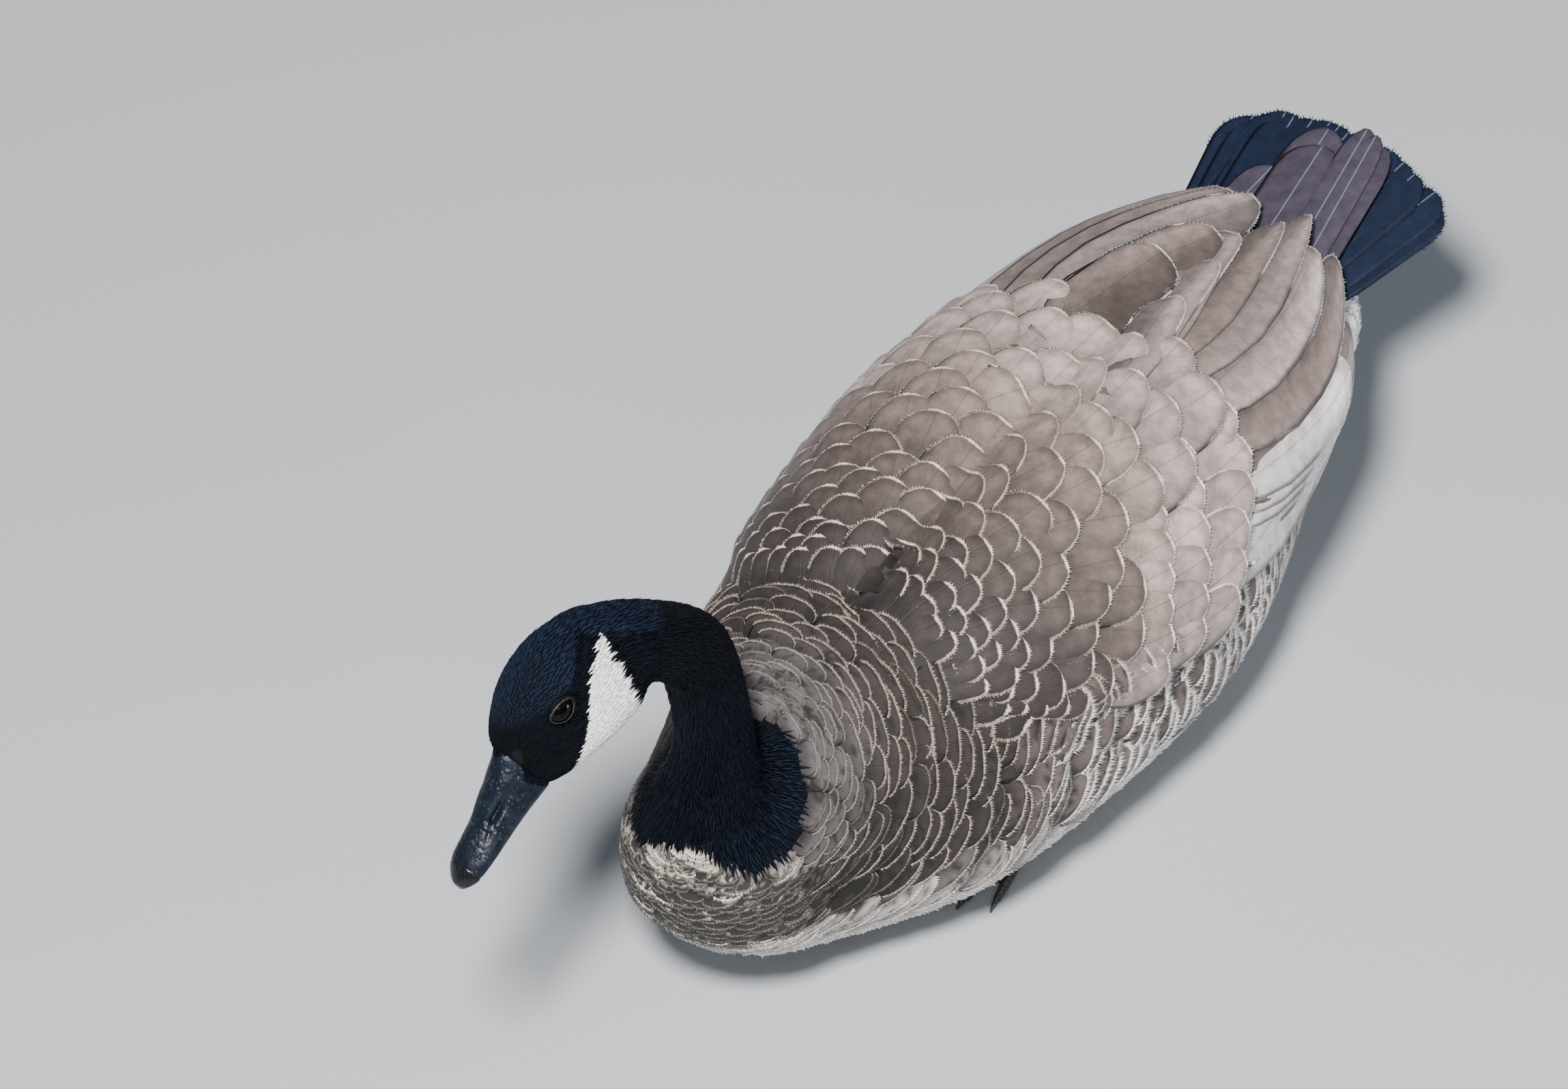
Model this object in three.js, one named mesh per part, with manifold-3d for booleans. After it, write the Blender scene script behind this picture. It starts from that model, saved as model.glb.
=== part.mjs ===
// A life-size Canada goose at rest, as it lies on the water, with its feet tucked under its belly.
// Millimetres, +Z up. The bird faces -Y, its left side is +X and the floor is Z = 0.
import * as THREE from "three";
import { mergeVertices } from "three/addons/utils/BufferGeometryUtils.js";
import Module from "manifold-3d";

const wasm = await Module();
wasm.setup();

// Clearances between nodes that touch
const GAP = 0.3;
const GROWTH = 0.45;

// Trunk: breast, back, flanks, belly and the down under the tail
const BREAST_TIP_Y = -228;
const VENT_TIP_Y = 302;
const BREAST_ROUND = 52;
const VENT_ROUND = 44;
const BACK_FULLNESS = 2.5;
const BELLY_FULLNESS = 2.15;
const TRUNK_RINGS = 22;
const TRUNK_SIDES = 24;
// Each row: Y, top, bottom, half width, height of the widest line, shift to the left
const TRUNK = [
  [-228, 136, 60, 50, 104, -17],
  [-200, 145, 42, 54, 105, -14],
  [-170, 158, 24, 60, 104, -11],
  [-130, 181, 8, 77, 102, -6],
  [-90, 196, 0, 98, 99, -3],
  [-50, 202, -4, 105, 97, 0],
  [0, 207, -5.5, 113, 98, 0],
  [55, 209, -5, 118, 100, 0],
  [105, 207, 0, 113, 104, 0],
  [150, 200, 16, 100, 110, 0],
  [195, 187, 44, 84, 118, 0],
  [235, 170, 78, 72, 127, 1],
  [270, 158, 104, 62, 134, 2],
  [302, 150, 118, 46, 138, 3],
];

// Folded wing: the sheet that its feathers lie on, and the solid arm under their roots
const WING_FRONT_Y = -104;
const WING_CORE_END_Y = 258;
const WING_RINGS = 12;
const WING_SIDES = 6;
const WING_CORE_DEPTH = 26;
const WING_END_DEPTH = 4;
const WING_CORE_SINK = { front: 8, middle: 3.4, rear: 5.4 };
const WING_FULLNESS = 2.6;
const WING_BREADTH = 150;
const MID_GROOVE_DEPTH = 9;
const MID_GROOVE_WIDTH = 15;
// Each row: Y, top, half width, height of the widest line, height of the lower edge
const WING = [
  [-110, 198, 98, 99, 172],
  [-60, 209, 112, 99, 146],
  [0, 216, 120, 100, 130],
  [60, 219, 126, 102, 126],
  [115, 218, 122, 106, 132],
  [165, 213, 114, 113, 144],
  [210, 205, 102, 122, 157],
  [250, 195, 80, 130, 167],
  [285, 184, 56, 138, 169],
  [340, 174, 40, 144, 168],
];

// Vanes: places of their rows along the shaft, thickness at root and tip, rise of the shaft's line
const VANE_PLACES = [0, 0.42, 0.78, 0.94, 1];
const VANE_ROOT_THICKNESS = 0.95;
const VANE_TIP_THICKNESS = 0.6;
const VANE_CAMBER = 0.7;
const VANE_STAGGER = 1;
const VANE_TIP_WIDTH = 0.4;
const VARIETY = 0.07;

// Tiers of feathers from the shoulder back. In each tier the first feather is nearest the back's
// midline and the last is lowest on the side. Places are Y and the share of the way down the wing.
const SCAPULARS = { square: 0.5, lift: [-5.8, 2.8] };
const COVERTS = { square: 0.55, lift: [-5.8, 2.4] };
const TERTIALS = { square: 0.72, lift: [-5.8, 1.9] };
const SECONDARIES = { square: 0.78, lift: [-6.2, 0.4] };
const PRIMARIES = { square: 0.86, lift: [-7.2, -1] };
const WING_TIERS = [
  { ...PRIMARIES, count: 4, y: [200, 184], a: [0.12, 0.62], length: [140, 104], width: [22, 20], heading: -3 },
  { ...SECONDARIES, count: 4, y: [118, 96], a: [0.97, 0.74], length: [118, 152], width: [24, 28], heading: -4 },
  { ...TERTIALS, count: 4, y: [92, 88], a: [0.64, 0.1], length: [158, 176], width: [38, 46], heading: -3 },
  { ...COVERTS, count: 4, y: [58, 54], a: [0.96, 0.58], length: [60, 66], width: [30, 36], heading: -2 },
  { ...COVERTS, count: 4, y: [30, 24], a: [0.93, 0.55], length: [52, 58], width: [30, 34], heading: -2 },
  { ...COVERTS, count: 3, y: [0, -8], a: [0.9, 0.62], length: [48, 52], width: [30, 32], heading: -1 },
  { ...SCAPULARS, count: 4, y: [50, 50], a: [0.5, 0.06], length: [84, 92], width: [38, 42], heading: 0 },
  { ...SCAPULARS, count: 3, y: [14, 16], a: [0.46, 0.1], length: [72, 78], width: [40, 42], heading: 0 },
  { ...SCAPULARS, count: 3, y: [-20, -18], a: [0.52, 0.16], length: [62, 66], width: [38, 40], heading: 1 },
  { ...SCAPULARS, count: 3, y: [-54, -52], a: [0.44, 0.1], length: [56, 60], width: [36, 38], heading: 2 },
];

// Neck: centre line with half width and half depth, from inside the breast up to the head
const NECK_RINGS = 22;
const NECK_SIDES = 18;
const NECK = [
  { at: [-14, -168, 108], wide: 60, deep: 56 },
  { at: [-13, -177, 132], wide: 46, deep: 45 },
  { at: [-11, -180, 150], wide: 32, deep: 33 },
  { at: [-9, -178, 172], wide: 24.5, deep: 25.5 },
  { at: [-7.5, -176, 194], wide: 21.6, deep: 22.4 },
  { at: [-7, -176, 216], wide: 20.8, deep: 21.5 },
  { at: [-8, -177, 240], wide: 20.8, deep: 21.5 },
  { at: [-9, -184, 264], wide: 21, deep: 22 },
];
const NECK_CUT_LOW = 0.52;
const NECK_CUT_HIGH = 0.74;

// Head, in its own frame: the bill points to -Y and the eyes are level with the origin
const HEAD_AT = [-19, -267.7, 302.7];
const HEAD_PITCH = 21.3;
const HEAD_ROLL = -17.2;
const HEAD_YAW = -4;
const HEAD_BACK_Y = 30;
const HEAD_BACK_Z = -6;
const BILL_BASE_Y = -38;
const HEAD_RINGS = 13;
const HEAD_SIDES = 22;
// Each row: Y, crown, chin, half width, height of the widest line
const HEAD = [
  [-41, 6, -26, 13.5, -11],
  [-32, 13.5, -29.5, 18.5, -12],
  [-22, 20.5, -33.5, 22.6, -11.5],
  [-11, 25.6, -37, 25, -10.5],
  [0, 28, -40, 26, -10],
  [11, 28, -42.5, 26.2, -10],
  [21, 25.2, -44, 25.6, -10.5],
  [30, 18.5, -44.5, 24.6, -12],
];

// Eye and lids
const EYE_AT = [14, -0.5, 5];
const EYE_RADIUS = 7.4;
const LID_OPENING = [6.4, 4.7];
const LID_TILT = 20;
const LID_ROUND = 1;

// Bill. Each row: Y, culmen, cutting edge, lower edge of the lower half, half width
const BILL_TIP_Y = -98;
const BILL_SIDES = 16;
const BILL = [
  [-98, -20.8, -26, -28.6, 9.6],
  [-90, -16.8, -25, -29, 11.4],
  [-77, -13, -23.8, -29, 12.2],
  [-66, -9.5, -22.6, -28.8, 11.9],
  [-56, -5, -21.4, -28.5, 11.9],
  [-46, 0.2, -20.8, -28, 12.4],
  [-38, 4.4, -20.8, -27.8, 13],
];
const BILL_TIP_ROUND = 13;
const MOUTH_Z = -20.9;
const MOUTH_SIZE = [22, 8, 0.9];
const NAIL_AT = [0, -90.5, -20.5];
const NAIL_SIZE = [7.4, 9.6, 5.4];
const NOSTRIL_AT = [6.6, -60, -11.5];
const NOSTRIL_SIZE = [2.6, 6, 1.7];

// Tail: a fan of feathers from a block inside the rump, the middle one on top
const TAIL_PIVOT = [2, 113];
const TAIL_SPREAD = 15.2;
const TAIL_HEIGHT = 148.5;
const TAIL_RISE = 0.1;
const TAIL_FEATHERS = 16;
const TAIL_TOP_FEATHER = 7;
const TAIL_STEP = 1.2;
const TAIL_ROOT = 117;
const TAIL_BLOCK_END = 160;
const TAIL_BLOCK_DEPTH = [9, 4];
const TAIL_SINK = 2;
const TAIL_MIDDLE_LENGTH = 238;
const TAIL_OUTER_LENGTH = 231;
const TAIL_VANE_WIDTH = [14, 24];
const TAIL_VANE_SQUARE = 0.8;
const TAIL_VANE_CAMBER = 0.5;

// Legs and feet, folded under the belly
const LEG_X = 47;
const HEEL_Y = 96;
const TOE_ROOT_Y = 6;
const SHANK_RADIUS = 5.4;
const HEEL_RADIUS = 7.5;

const X_AXIS = new THREE.Vector3(1, 0, 0);

// Turns a table whose first column is a place into a smooth function of that place.
function smoothTable(rows) {
  const places = rows.map((row) => row[0]);
  const values = rows.flatMap((row) => row.slice(1));
  const spline = new THREE.CubicInterpolant(places, values, rows[0].length - 1);
  return (place) => Array.from(spline.evaluate(place));
}

function signedPower(value, power) {
  return Math.sign(value) * Math.pow(Math.abs(value), power);
}

function blend(from, to, share) {
  return from + (to - from) * share;
}

function smoothStep(from, to, value) {
  return THREE.MathUtils.smoothstep(value, from, to);
}

// A factor near 1 that differs from feather to feather, the same in every build.
function varied(chance) {
  return 1 + VARIETY * (2 * chance() - 1);
}

function seededChance(seed) {
  let state = seed;
  return () => {
    state = (state * 1664525 + 1013904223) % 4294967296;
    return state / 4294967296;
  };
}

// A closed body from points and triangles, turned to face outwards.
function solidFrom(points, faces) {
  const positions = new Float32Array(points.flatMap((p) => [p.x, p.y, p.z]));
  const make = (order) =>
    new wasm.Manifold(
      new wasm.Mesh({ numProp: 3, vertProperties: positions, triVerts: new Uint32Array(order) }),
    );
  const made = make(faces);
  if (made.volume() > 0) return made;
  const turned = [];
  for (let i = 0; i < faces.length; i += 3) turned.push(faces[i], faces[i + 2], faces[i + 1]);
  return make(turned);
}

function solidFromGeometry(geometry) {
  const bare = geometry.clone();
  bare.deleteAttribute("normal");
  bare.deleteAttribute("uv");
  const merged = mergeVertices(bare, 1e-4);
  const place = merged.getAttribute("position");
  const points = [];
  for (let i = 0; i < place.count; i++) points.push(new THREE.Vector3().fromBufferAttribute(place, i));
  return solidFrom(points, Array.from(merged.index.array));
}

// A closed skin over rings of equally many points. Each end closes on the point given for it.
function loft(rings, startPoint, endPoint) {
  const around = rings[0].length;
  const points = [...rings.flat(), startPoint, endPoint];
  const start = points.length - 2;
  const end = points.length - 1;
  const last = (rings.length - 1) * around;
  const faces = [];
  for (let j = 0; j < around; j++) {
    const next = (j + 1) % around;
    for (let low = 0; low < last; low += around) {
      const high = low + around;
      faces.push(low + j, low + next, high + next, low + j, high + next, high + j);
    }
    faces.push(start, next, j, end, last + j, last + next);
  }
  return solidFrom(points, faces);
}

function middle(ring) {
  const sum = new THREE.Vector3();
  ring.forEach((point) => sum.add(point));
  return sum.divideScalar(ring.length);
}

// A closed thin body between two grids of points, split alike on both faces.
function plate(top, bottom) {
  const rows = top.length;
  const columns = top[0].length;
  const points = [...top.flat(), ...bottom.flat()];
  const under = rows * columns;
  const faces = [];
  const quad = (a, b, c, d) => faces.push(a, b, c, a, c, d);
  for (let r = 0; r + 1 < rows; r++)
    for (let c = 0; c + 1 < columns; c++) {
      const a = r * columns + c;
      const d = a + columns;
      quad(a, a + 1, d + 1, d);
      quad(under + a, under + d, under + d + 1, under + a + 1);
    }
  for (let c = 0; c + 1 < columns; c++) {
    const end = (rows - 1) * columns + c;
    quad(c + 1, c, under + c, under + c + 1);
    quad(end, end + 1, under + end + 1, under + end);
  }
  for (let r = 0; r + 1 < rows; r++) {
    const a = r * columns;
    const b = a + columns - 1;
    quad(a, a + columns, under + a + columns, under + a);
    quad(b + columns, b, under + b, under + b + columns);
  }
  return solidFrom(points, faces);
}

// The one body that is left after joins and cuts: loose scraps go and sealed hollows fill.
function largest(solid) {
  const bodies = solid.decompose().sort((a, b) => b.volume() - a.volume());
  return bodies[0];
}

function union(solids) {
  return wasm.Manifold.union(solids);
}

function mirrored(solid) {
  return solid.mirror([1, 0, 0]);
}

// Places along a body, closer together towards its two round ends.
function roundedPlaces(from, to, count) {
  return Array.from({ length: count }, (_, k) => {
    const share = (1 - Math.cos((Math.PI * (k + 0.6)) / (count + 0.2))) / 2;
    return blend(from, to, share);
  });
}

function endRound(y, start, startLength, end, endLength) {
  const front = Math.max(0, (start + startLength - y) / startLength);
  const rear = Math.max(0, (y - end + endLength) / endLength);
  const past = Math.min(1, Math.max(front, rear));
  return Math.sqrt(Math.max(0, 1 - past * past));
}

// An oval section with its own fullness above and below its widest line.
function ovalRing({ y, top, bottom, half, mid, shift = 0, above, below, sides }) {
  return Array.from({ length: sides }, (_, j) => {
    const turn = (2 * Math.PI * j) / sides;
    const across = Math.sin(turn);
    const up = Math.cos(turn);
    const power = 2 / (up > 0 ? above : below);
    const reach = up > 0 ? top - mid : mid - bottom;
    return new THREE.Vector3(
      shift + half * signedPower(across, power),
      y,
      mid + reach * signedPower(up, power),
    );
  });
}

const trunkAt = smoothTable(TRUNK);

function trunkRing(y, grow) {
  const [top, bottom, half, mid, shift] = trunkAt(y);
  const size = endRound(y, BREAST_TIP_Y, BREAST_ROUND, VENT_TIP_Y, VENT_ROUND);
  return ovalRing({
    y,
    top: mid + (top - mid) * size + grow,
    bottom: mid - (mid - bottom) * size - grow,
    half: half * size + grow,
    mid,
    shift,
    above: BACK_FULLNESS,
    below: BELLY_FULLNESS,
    sides: TRUNK_SIDES,
  });
}

// The trunk, or a larger copy of it that clears its neighbours.
function trunkSolid(grow) {
  const rings = roundedPlaces(BREAST_TIP_Y, VENT_TIP_Y, TRUNK_RINGS).map((y) => trunkRing(y, grow));
  const front = trunkAt(BREAST_TIP_Y);
  const rear = trunkAt(VENT_TIP_Y);
  const start = new THREE.Vector3(front[4], BREAST_TIP_Y - grow, front[3]);
  const end = new THREE.Vector3(rear[4], VENT_TIP_Y + grow, rear[3]);
  return loft(rings, start, end);
}

const wingAt = smoothTable(WING);

// A point of the left wing's sheet: a is 0 on the back's midline and 1 at the wing's lower edge.
function wingPoint(y, a, height) {
  const [top, half, mid, edge] = wingAt(y);
  const power = 2 / WING_FULLNESS;
  const lowest = Math.acos(Math.pow((edge - mid) / (top - mid), 1 / power));
  const turn = lowest * signedPower(a, 1.2);
  const x = (half + height) * signedPower(Math.sin(turn), power);
  const z = mid + (top + height - mid) * signedPower(Math.cos(turn), power);
  const groove = MID_GROOVE_DEPTH * Math.exp(-Math.pow(x / MID_GROOVE_WIDTH, 2));
  return new THREE.Vector3(x, y, z - groove);
}

function wingCore() {
  const top = [];
  const bottom = [];
  for (let r = 0; r < WING_RINGS; r++) {
    const share = r / (WING_RINGS - 1);
    const y = blend(WING_FRONT_Y, WING_CORE_END_Y, share);
    const opening = smoothStep(-0.02, 0.2, share);
    const inner = blend(0.42, -0.06, opening);
    const outer = blend(0.62, 0.97, opening);
    const depth = blend(WING_CORE_DEPTH, WING_END_DEPTH, smoothStep(0.6, 1, share));
    const front = blend(WING_CORE_SINK.front, WING_CORE_SINK.middle, smoothStep(0, 0.1, share));
    const sink = blend(front, WING_CORE_SINK.rear, smoothStep(0.45, 0.75, share));
    const places = Array.from({ length: WING_SIDES + 1 }, (_, c) => blend(inner, outer, c / WING_SIDES));
    top.push(places.map((a) => wingPoint(y, a, -sink)));
    bottom.push(places.map((a) => wingPoint(y, a, -sink - depth)));
  }
  return plate(top, bottom);
}

// Half width of a vane at a share of its length: narrow at the root, round at the tip.
function vaneHalf(share, rootWidth, width, square) {
  const rounding = Math.max(0, (share - square) / (1 - square));
  const round = Math.max(VANE_TIP_WIDTH, Math.sqrt(Math.max(0, 1 - rounding * rounding)));
  return (blend(rootWidth, width, smoothStep(0, 0.35, share)) / 2) * round;
}

// A vane laid on a sheet. The sheet turns a place along and across the vane and a height into a point.
function vane(sheet, { length, rootWidth, width, square, rise, camber }) {
  const top = [];
  const bottom = [];
  for (const share of VANE_PLACES) {
    const half = vaneHalf(share, rootWidth, width, square);
    const thickness = blend(VANE_ROOT_THICKNESS, VANE_TIP_THICKNESS, share);
    const row = (offset) =>
      [-1, 0, 1].map((side) => {
        const height = rise(share) + camber * (1 - side * side) + offset;
        return sheet(share * length, side * half, height);
      });
    top.push(row(thickness / 2));
    bottom.push(row(-thickness / 2));
  }
  return plate(top, bottom);
}

// One tier of a wing's feathers. Every other one lies over both of its neighbours.
function wingTier(tier, chance) {
  return Array.from({ length: tier.count }, (_, k) => {
    const share = k / (tier.count - 1);
    const [y, a, length, width] = [tier.y, tier.a, tier.length, tier.width].map(([first, last]) =>
      blend(first, last, share),
    );
    const level = k % 2 === 0 ? VANE_STAGGER : -VANE_STAGGER;
    const turn = THREE.MathUtils.degToRad(tier.heading + 30 * (varied(chance) - 1));
    const rootY = y + 40 * (varied(chance) - 1);
    const sheet = (along, across, height) =>
      wingPoint(
        rootY + along * Math.cos(turn) - across * Math.sin(turn),
        a + (along * Math.sin(turn) + across * Math.cos(turn)) / WING_BREADTH,
        height,
      );
    return vane(sheet, {
      length: length * varied(chance),
      rootWidth: width * 0.55,
      width: width * varied(chance),
      square: tier.square,
      rise: (along) => blend(tier.lift[0], tier.lift[1], Math.pow(along, 0.75)) + level,
      camber: VANE_CAMBER,
    });
  });
}

function wingFeathers(seed) {
  const chance = seededChance(seed);
  return union([wingCore(), ...WING_TIERS.flatMap((tier) => wingTier(tier, chance))]);
}

// A point of the tail's fan by its distance and angle from the fan's pivot.
function tailPoint(along, across, angle, height) {
  const turn = THREE.MathUtils.degToRad(angle);
  return new THREE.Vector3(
    TAIL_PIVOT[0] + along * Math.sin(turn) + across * Math.cos(turn),
    TAIL_PIVOT[1] + along * Math.cos(turn) - across * Math.sin(turn),
    TAIL_HEIGHT + TAIL_RISE * along + height,
  );
}

function tailDrop(angle) {
  return (Math.min(Math.abs(angle), TAIL_SPREAD) / TAIL_SPREAD) * TAIL_STEP * (TAIL_FEATHERS / 2);
}

function tailFan({ from, to, side, steps, columns, above, below }) {
  const top = [];
  const bottom = [];
  for (let r = 0; r <= steps; r++) {
    const share = r / steps;
    const along = blend(from, to, share);
    const angles = Array.from({ length: columns + 1 }, (_, c) =>
      blend(-TAIL_SPREAD - side, TAIL_SPREAD + side, c / columns),
    );
    const depth = blend(below[0], below[1], share);
    top.push(angles.map((angle) => tailPoint(along, 0, angle, above - tailDrop(angle))));
    bottom.push(angles.map((angle) => tailPoint(along, 0, angle, -depth - tailDrop(angle))));
  }
  return plate(top, bottom);
}

function tailFeather(index, chance) {
  const share = index / (TAIL_FEATHERS - 1);
  const angle = blend(-TAIL_SPREAD, TAIL_SPREAD, share) + 8 * (varied(chance) - 1);
  const out = Math.abs(2 * share - 1);
  const tip = blend(TAIL_MIDDLE_LENGTH, TAIL_OUTER_LENGTH, out * out) + 40 * (varied(chance) - 1);
  const level = -TAIL_STEP * Math.abs(index - TAIL_TOP_FEATHER);
  return vane((along, across, height) => tailPoint(TAIL_ROOT + along, across, angle, height), {
    length: tip - TAIL_ROOT,
    rootWidth: TAIL_VANE_WIDTH[0],
    width: TAIL_VANE_WIDTH[1],
    square: TAIL_VANE_SQUARE,
    rise: (place) => level - TAIL_SINK * (1 - smoothStep(0, 0.4, place)),
    camber: TAIL_VANE_CAMBER,
  });
}

function tailSolid(seed) {
  const chance = seededChance(seed);
  const block = tailFan({
    from: TAIL_ROOT,
    to: TAIL_BLOCK_END,
    side: 3,
    steps: 2,
    columns: 10,
    above: 0,
    below: TAIL_BLOCK_DEPTH,
  });
  const feathers = Array.from({ length: TAIL_FEATHERS }, (_, k) => tailFeather(k, chance));
  return largest(union([block, ...feathers]));
}

// The room that the tail and its feathers need in their neighbours.
function tailRoom() {
  return tailFan({
    from: TAIL_ROOT - 1.5,
    to: TAIL_MIDDLE_LENGTH + 10,
    side: 6.4,
    steps: 6,
    columns: 10,
    above: 3.4 + GROWTH,
    below: [TAIL_BLOCK_DEPTH[0] + 1.2, 5],
  });
}

// Rings square to a centre line. Each station has its centre, half width, half depth and side direction.
function sweptRings(stations, sides, grow) {
  return stations.map(({ centre, tangent, side, wide, deep }) => {
    const across = side.clone().addScaledVector(tangent, -side.dot(tangent)).normalize();
    const up = new THREE.Vector3().crossVectors(tangent, across);
    return Array.from({ length: sides }, (_, j) => {
      const turn = (2 * Math.PI * j) / sides;
      return centre
        .clone()
        .addScaledVector(across, (wide + grow) * Math.sin(turn))
        .addScaledVector(up, (deep + grow) * Math.cos(turn));
    });
  });
}

const headFrame = new THREE.Object3D();
headFrame.position.set(...HEAD_AT);
headFrame.rotation.set(
  THREE.MathUtils.degToRad(HEAD_PITCH),
  THREE.MathUtils.degToRad(HEAD_ROLL),
  THREE.MathUtils.degToRad(HEAD_YAW),
  "ZXY",
);
headFrame.updateMatrix();

function fromHead(x, y, z) {
  return new THREE.Vector3(x, y, z).applyMatrix4(headFrame.matrix);
}

const headSide = X_AXIS.clone().transformDirection(headFrame.matrix);
const headBackward = new THREE.Vector3(0, 1, 0).transformDirection(headFrame.matrix);

// The neck's centre line ends inside the head, so that both share one direction where they meet.
function neckStations() {
  const stops = [
    ...NECK.map(({ at, wide, deep }) => ({ at: new THREE.Vector3(...at), wide, deep })),
    { at: fromHead(0, HEAD_BACK_Y + 17, HEAD_BACK_Z - 17), wide: 22, deep: 22.5 },
    { at: fromHead(0, HEAD_BACK_Y, HEAD_BACK_Z - 6), wide: 24.4, deep: 31.5 },
    { at: fromHead(0, HEAD_BACK_Y - 14, HEAD_BACK_Z), wide: 24.5, deep: 34 },
  ];
  const line = new THREE.CatmullRomCurve3(stops.map((stop) => stop.at));
  const sizes = smoothTable(stops.map(({ wide, deep }, k) => [k / (stops.length - 1), wide, deep]));
  return Array.from({ length: NECK_RINGS }, (_, k) => {
    const share = k / (NECK_RINGS - 1);
    const [wide, deep] = sizes(share);
    return {
      centre: line.getPoint(share),
      tangent: line.getTangent(share),
      side: X_AXIS.clone().lerp(headSide, smoothStep(0.3, 0.9, share)),
      wide,
      deep,
    };
  });
}

function neckSolids(trunkClear) {
  const stations = neckStations();
  const rings = sweptRings(stations, NECK_SIDES, 0);
  const whole = loft(rings, middle(rings[0]), middle(rings.at(-1)));
  const back = fromHead(0, HEAD_BACK_Y, 0);
  const free = whole
    .subtract(trunkClear)
    .trimByPlane(headBackward.toArray(), headBackward.dot(back) + GAP);
  const cut = (share) => {
    const station = stations[Math.round(share * (NECK_RINGS - 1))];
    return { normal: station.tangent, place: station.tangent.dot(station.centre) };
  };
  const low = cut(NECK_CUT_LOW);
  const high = cut(NECK_CUT_HIGH);
  const above = (solid, { normal, place }) => solid.trimByPlane(normal.toArray(), place + GAP / 2);
  const beneath = (solid, { normal, place }) =>
    solid.trimByPlane(normal.clone().negate().toArray(), -place + GAP / 2);
  return {
    lower: largest(beneath(free, low)),
    middle: largest(beneath(above(free, low), high)),
    upper: largest(above(free, high)),
  };
}

const headAt = smoothTable(HEAD);

function headShell() {
  const rings = [];
  for (let k = 0; k < HEAD_RINGS; k++) {
    const y = blend(BILL_BASE_Y, HEAD_BACK_Y, k / (HEAD_RINGS - 1));
    const [top, bottom, half, mid] = headAt(y);
    rings.push(ovalRing({ y, top, bottom, half, mid, above: 2.15, below: 2.2, sides: HEAD_SIDES }));
  }
  return loft(rings, middle(rings[0]), middle(rings.at(-1)));
}

function eyeball(grow) {
  const ball = new THREE.SphereGeometry(EYE_RADIUS + grow, 14, 9);
  ball.rotateZ(Math.PI / 2);
  ball.translate(...EYE_AT);
  return solidFromGeometry(ball);
}

// The lids: a round rim that lies on the eyeball about an almond opening.
function lidRim() {
  const rim = new THREE.TorusGeometry(1, 0.5, 4, 16);
  const place = rim.getAttribute("position");
  const reach = EYE_RADIUS + GAP + LID_ROUND;
  const tilt = THREE.MathUtils.degToRad(LID_TILT);
  for (let i = 0; i < place.count; i++) {
    const turn = Math.atan2(place.getY(i), place.getX(i));
    const outward = Math.hypot(place.getX(i), place.getY(i)) - 1;
    const corner = 1 + 0.1 * Math.pow(Math.cos(turn), 4);
    const y = (LID_OPENING[0] + 2 * LID_ROUND * outward) * Math.cos(turn) * corner;
    const z = (LID_OPENING[1] + 2 * LID_ROUND * outward) * Math.sin(turn);
    const high = reach + 2 * LID_ROUND * place.getZ(i);
    const depth = Math.sqrt(Math.max(1, high * high - y * y - z * z));
    place.setXYZ(
      i,
      EYE_AT[0] + depth,
      EYE_AT[1] + y * Math.cos(tilt) - z * Math.sin(tilt),
      EYE_AT[2] + y * Math.sin(tilt) + z * Math.cos(tilt),
    );
  }
  return solidFromGeometry(rim);
}

// A shallow almond hollow for the lids and the eyeball.
function eyeHollow() {
  const hollow = new THREE.SphereGeometry(1, 12, 5);
  hollow.scale(5, LID_OPENING[0] + 1.2, LID_OPENING[1] + 1.2);
  hollow.rotateX(THREE.MathUtils.degToRad(LID_TILT));
  hollow.translate(EYE_AT[0] + 8.2, EYE_AT[1], EYE_AT[2]);
  return solidFromGeometry(hollow);
}

// The line of the mouth, carried back from the bill into the feathers of the cheek.
function mouthCorner() {
  const cut = new THREE.SphereGeometry(1, 12, 4);
  cut.scale(...MOUTH_SIZE);
  cut.translate(0, BILL_BASE_Y, MOUTH_Z);
  return solidFromGeometry(cut);
}

function headSolid() {
  const hollow = eyeHollow();
  const rim = lidRim();
  const ball = eyeball(GAP);
  const socketed = headShell().subtract(union([hollow, mirrored(hollow), mouthCorner()]));
  return largest(union([socketed, rim, mirrored(rim)]).subtract(union([ball, mirrored(ball)])));
}

const billAt = smoothTable(BILL);

function billRings(upper) {
  const places = [BILL_BASE_Y - GAP];
  for (let k = 1; k <= 6; k++) places.push(blend(BILL_BASE_Y - GAP, BILL_TIP_Y + 12, k / 6));
  for (let k = 1; k <= 4; k++) places.push(BILL_TIP_Y + 12 - 11.6 * Math.sin((Math.PI * k) / 8));
  return places.map((y) => {
    const [culmen, edge, under, half] = billAt(y);
    const past = Math.max(0, (BILL_TIP_Y + BILL_TIP_ROUND - y) / BILL_TIP_ROUND);
    const size = Math.sqrt(Math.max(0, 1 - past * past));
    const width = (upper ? half : half - 1.6) * size;
    const mid = upper ? edge : edge - GAP;
    return Array.from({ length: BILL_SIDES }, (_, j) => {
      const turn = (2 * Math.PI * j) / BILL_SIDES;
      const up = Math.cos(turn) * (upper ? 1 : -1);
      const reach = upper ? culmen - edge : mid - under;
      const domed = Math.pow(Math.max(0, up), upper ? 1.35 : 0.8) * reach * Math.pow(size, 0.6);
      return new THREE.Vector3(width * signedPower(Math.sin(turn), 0.85), y, mid + (upper ? domed : -domed));
    });
  });
}

function billHalf(upper) {
  const rings = billRings(upper);
  const tip = middle(rings.at(-1));
  return loft(rings, middle(rings[0]), tip);
}

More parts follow.
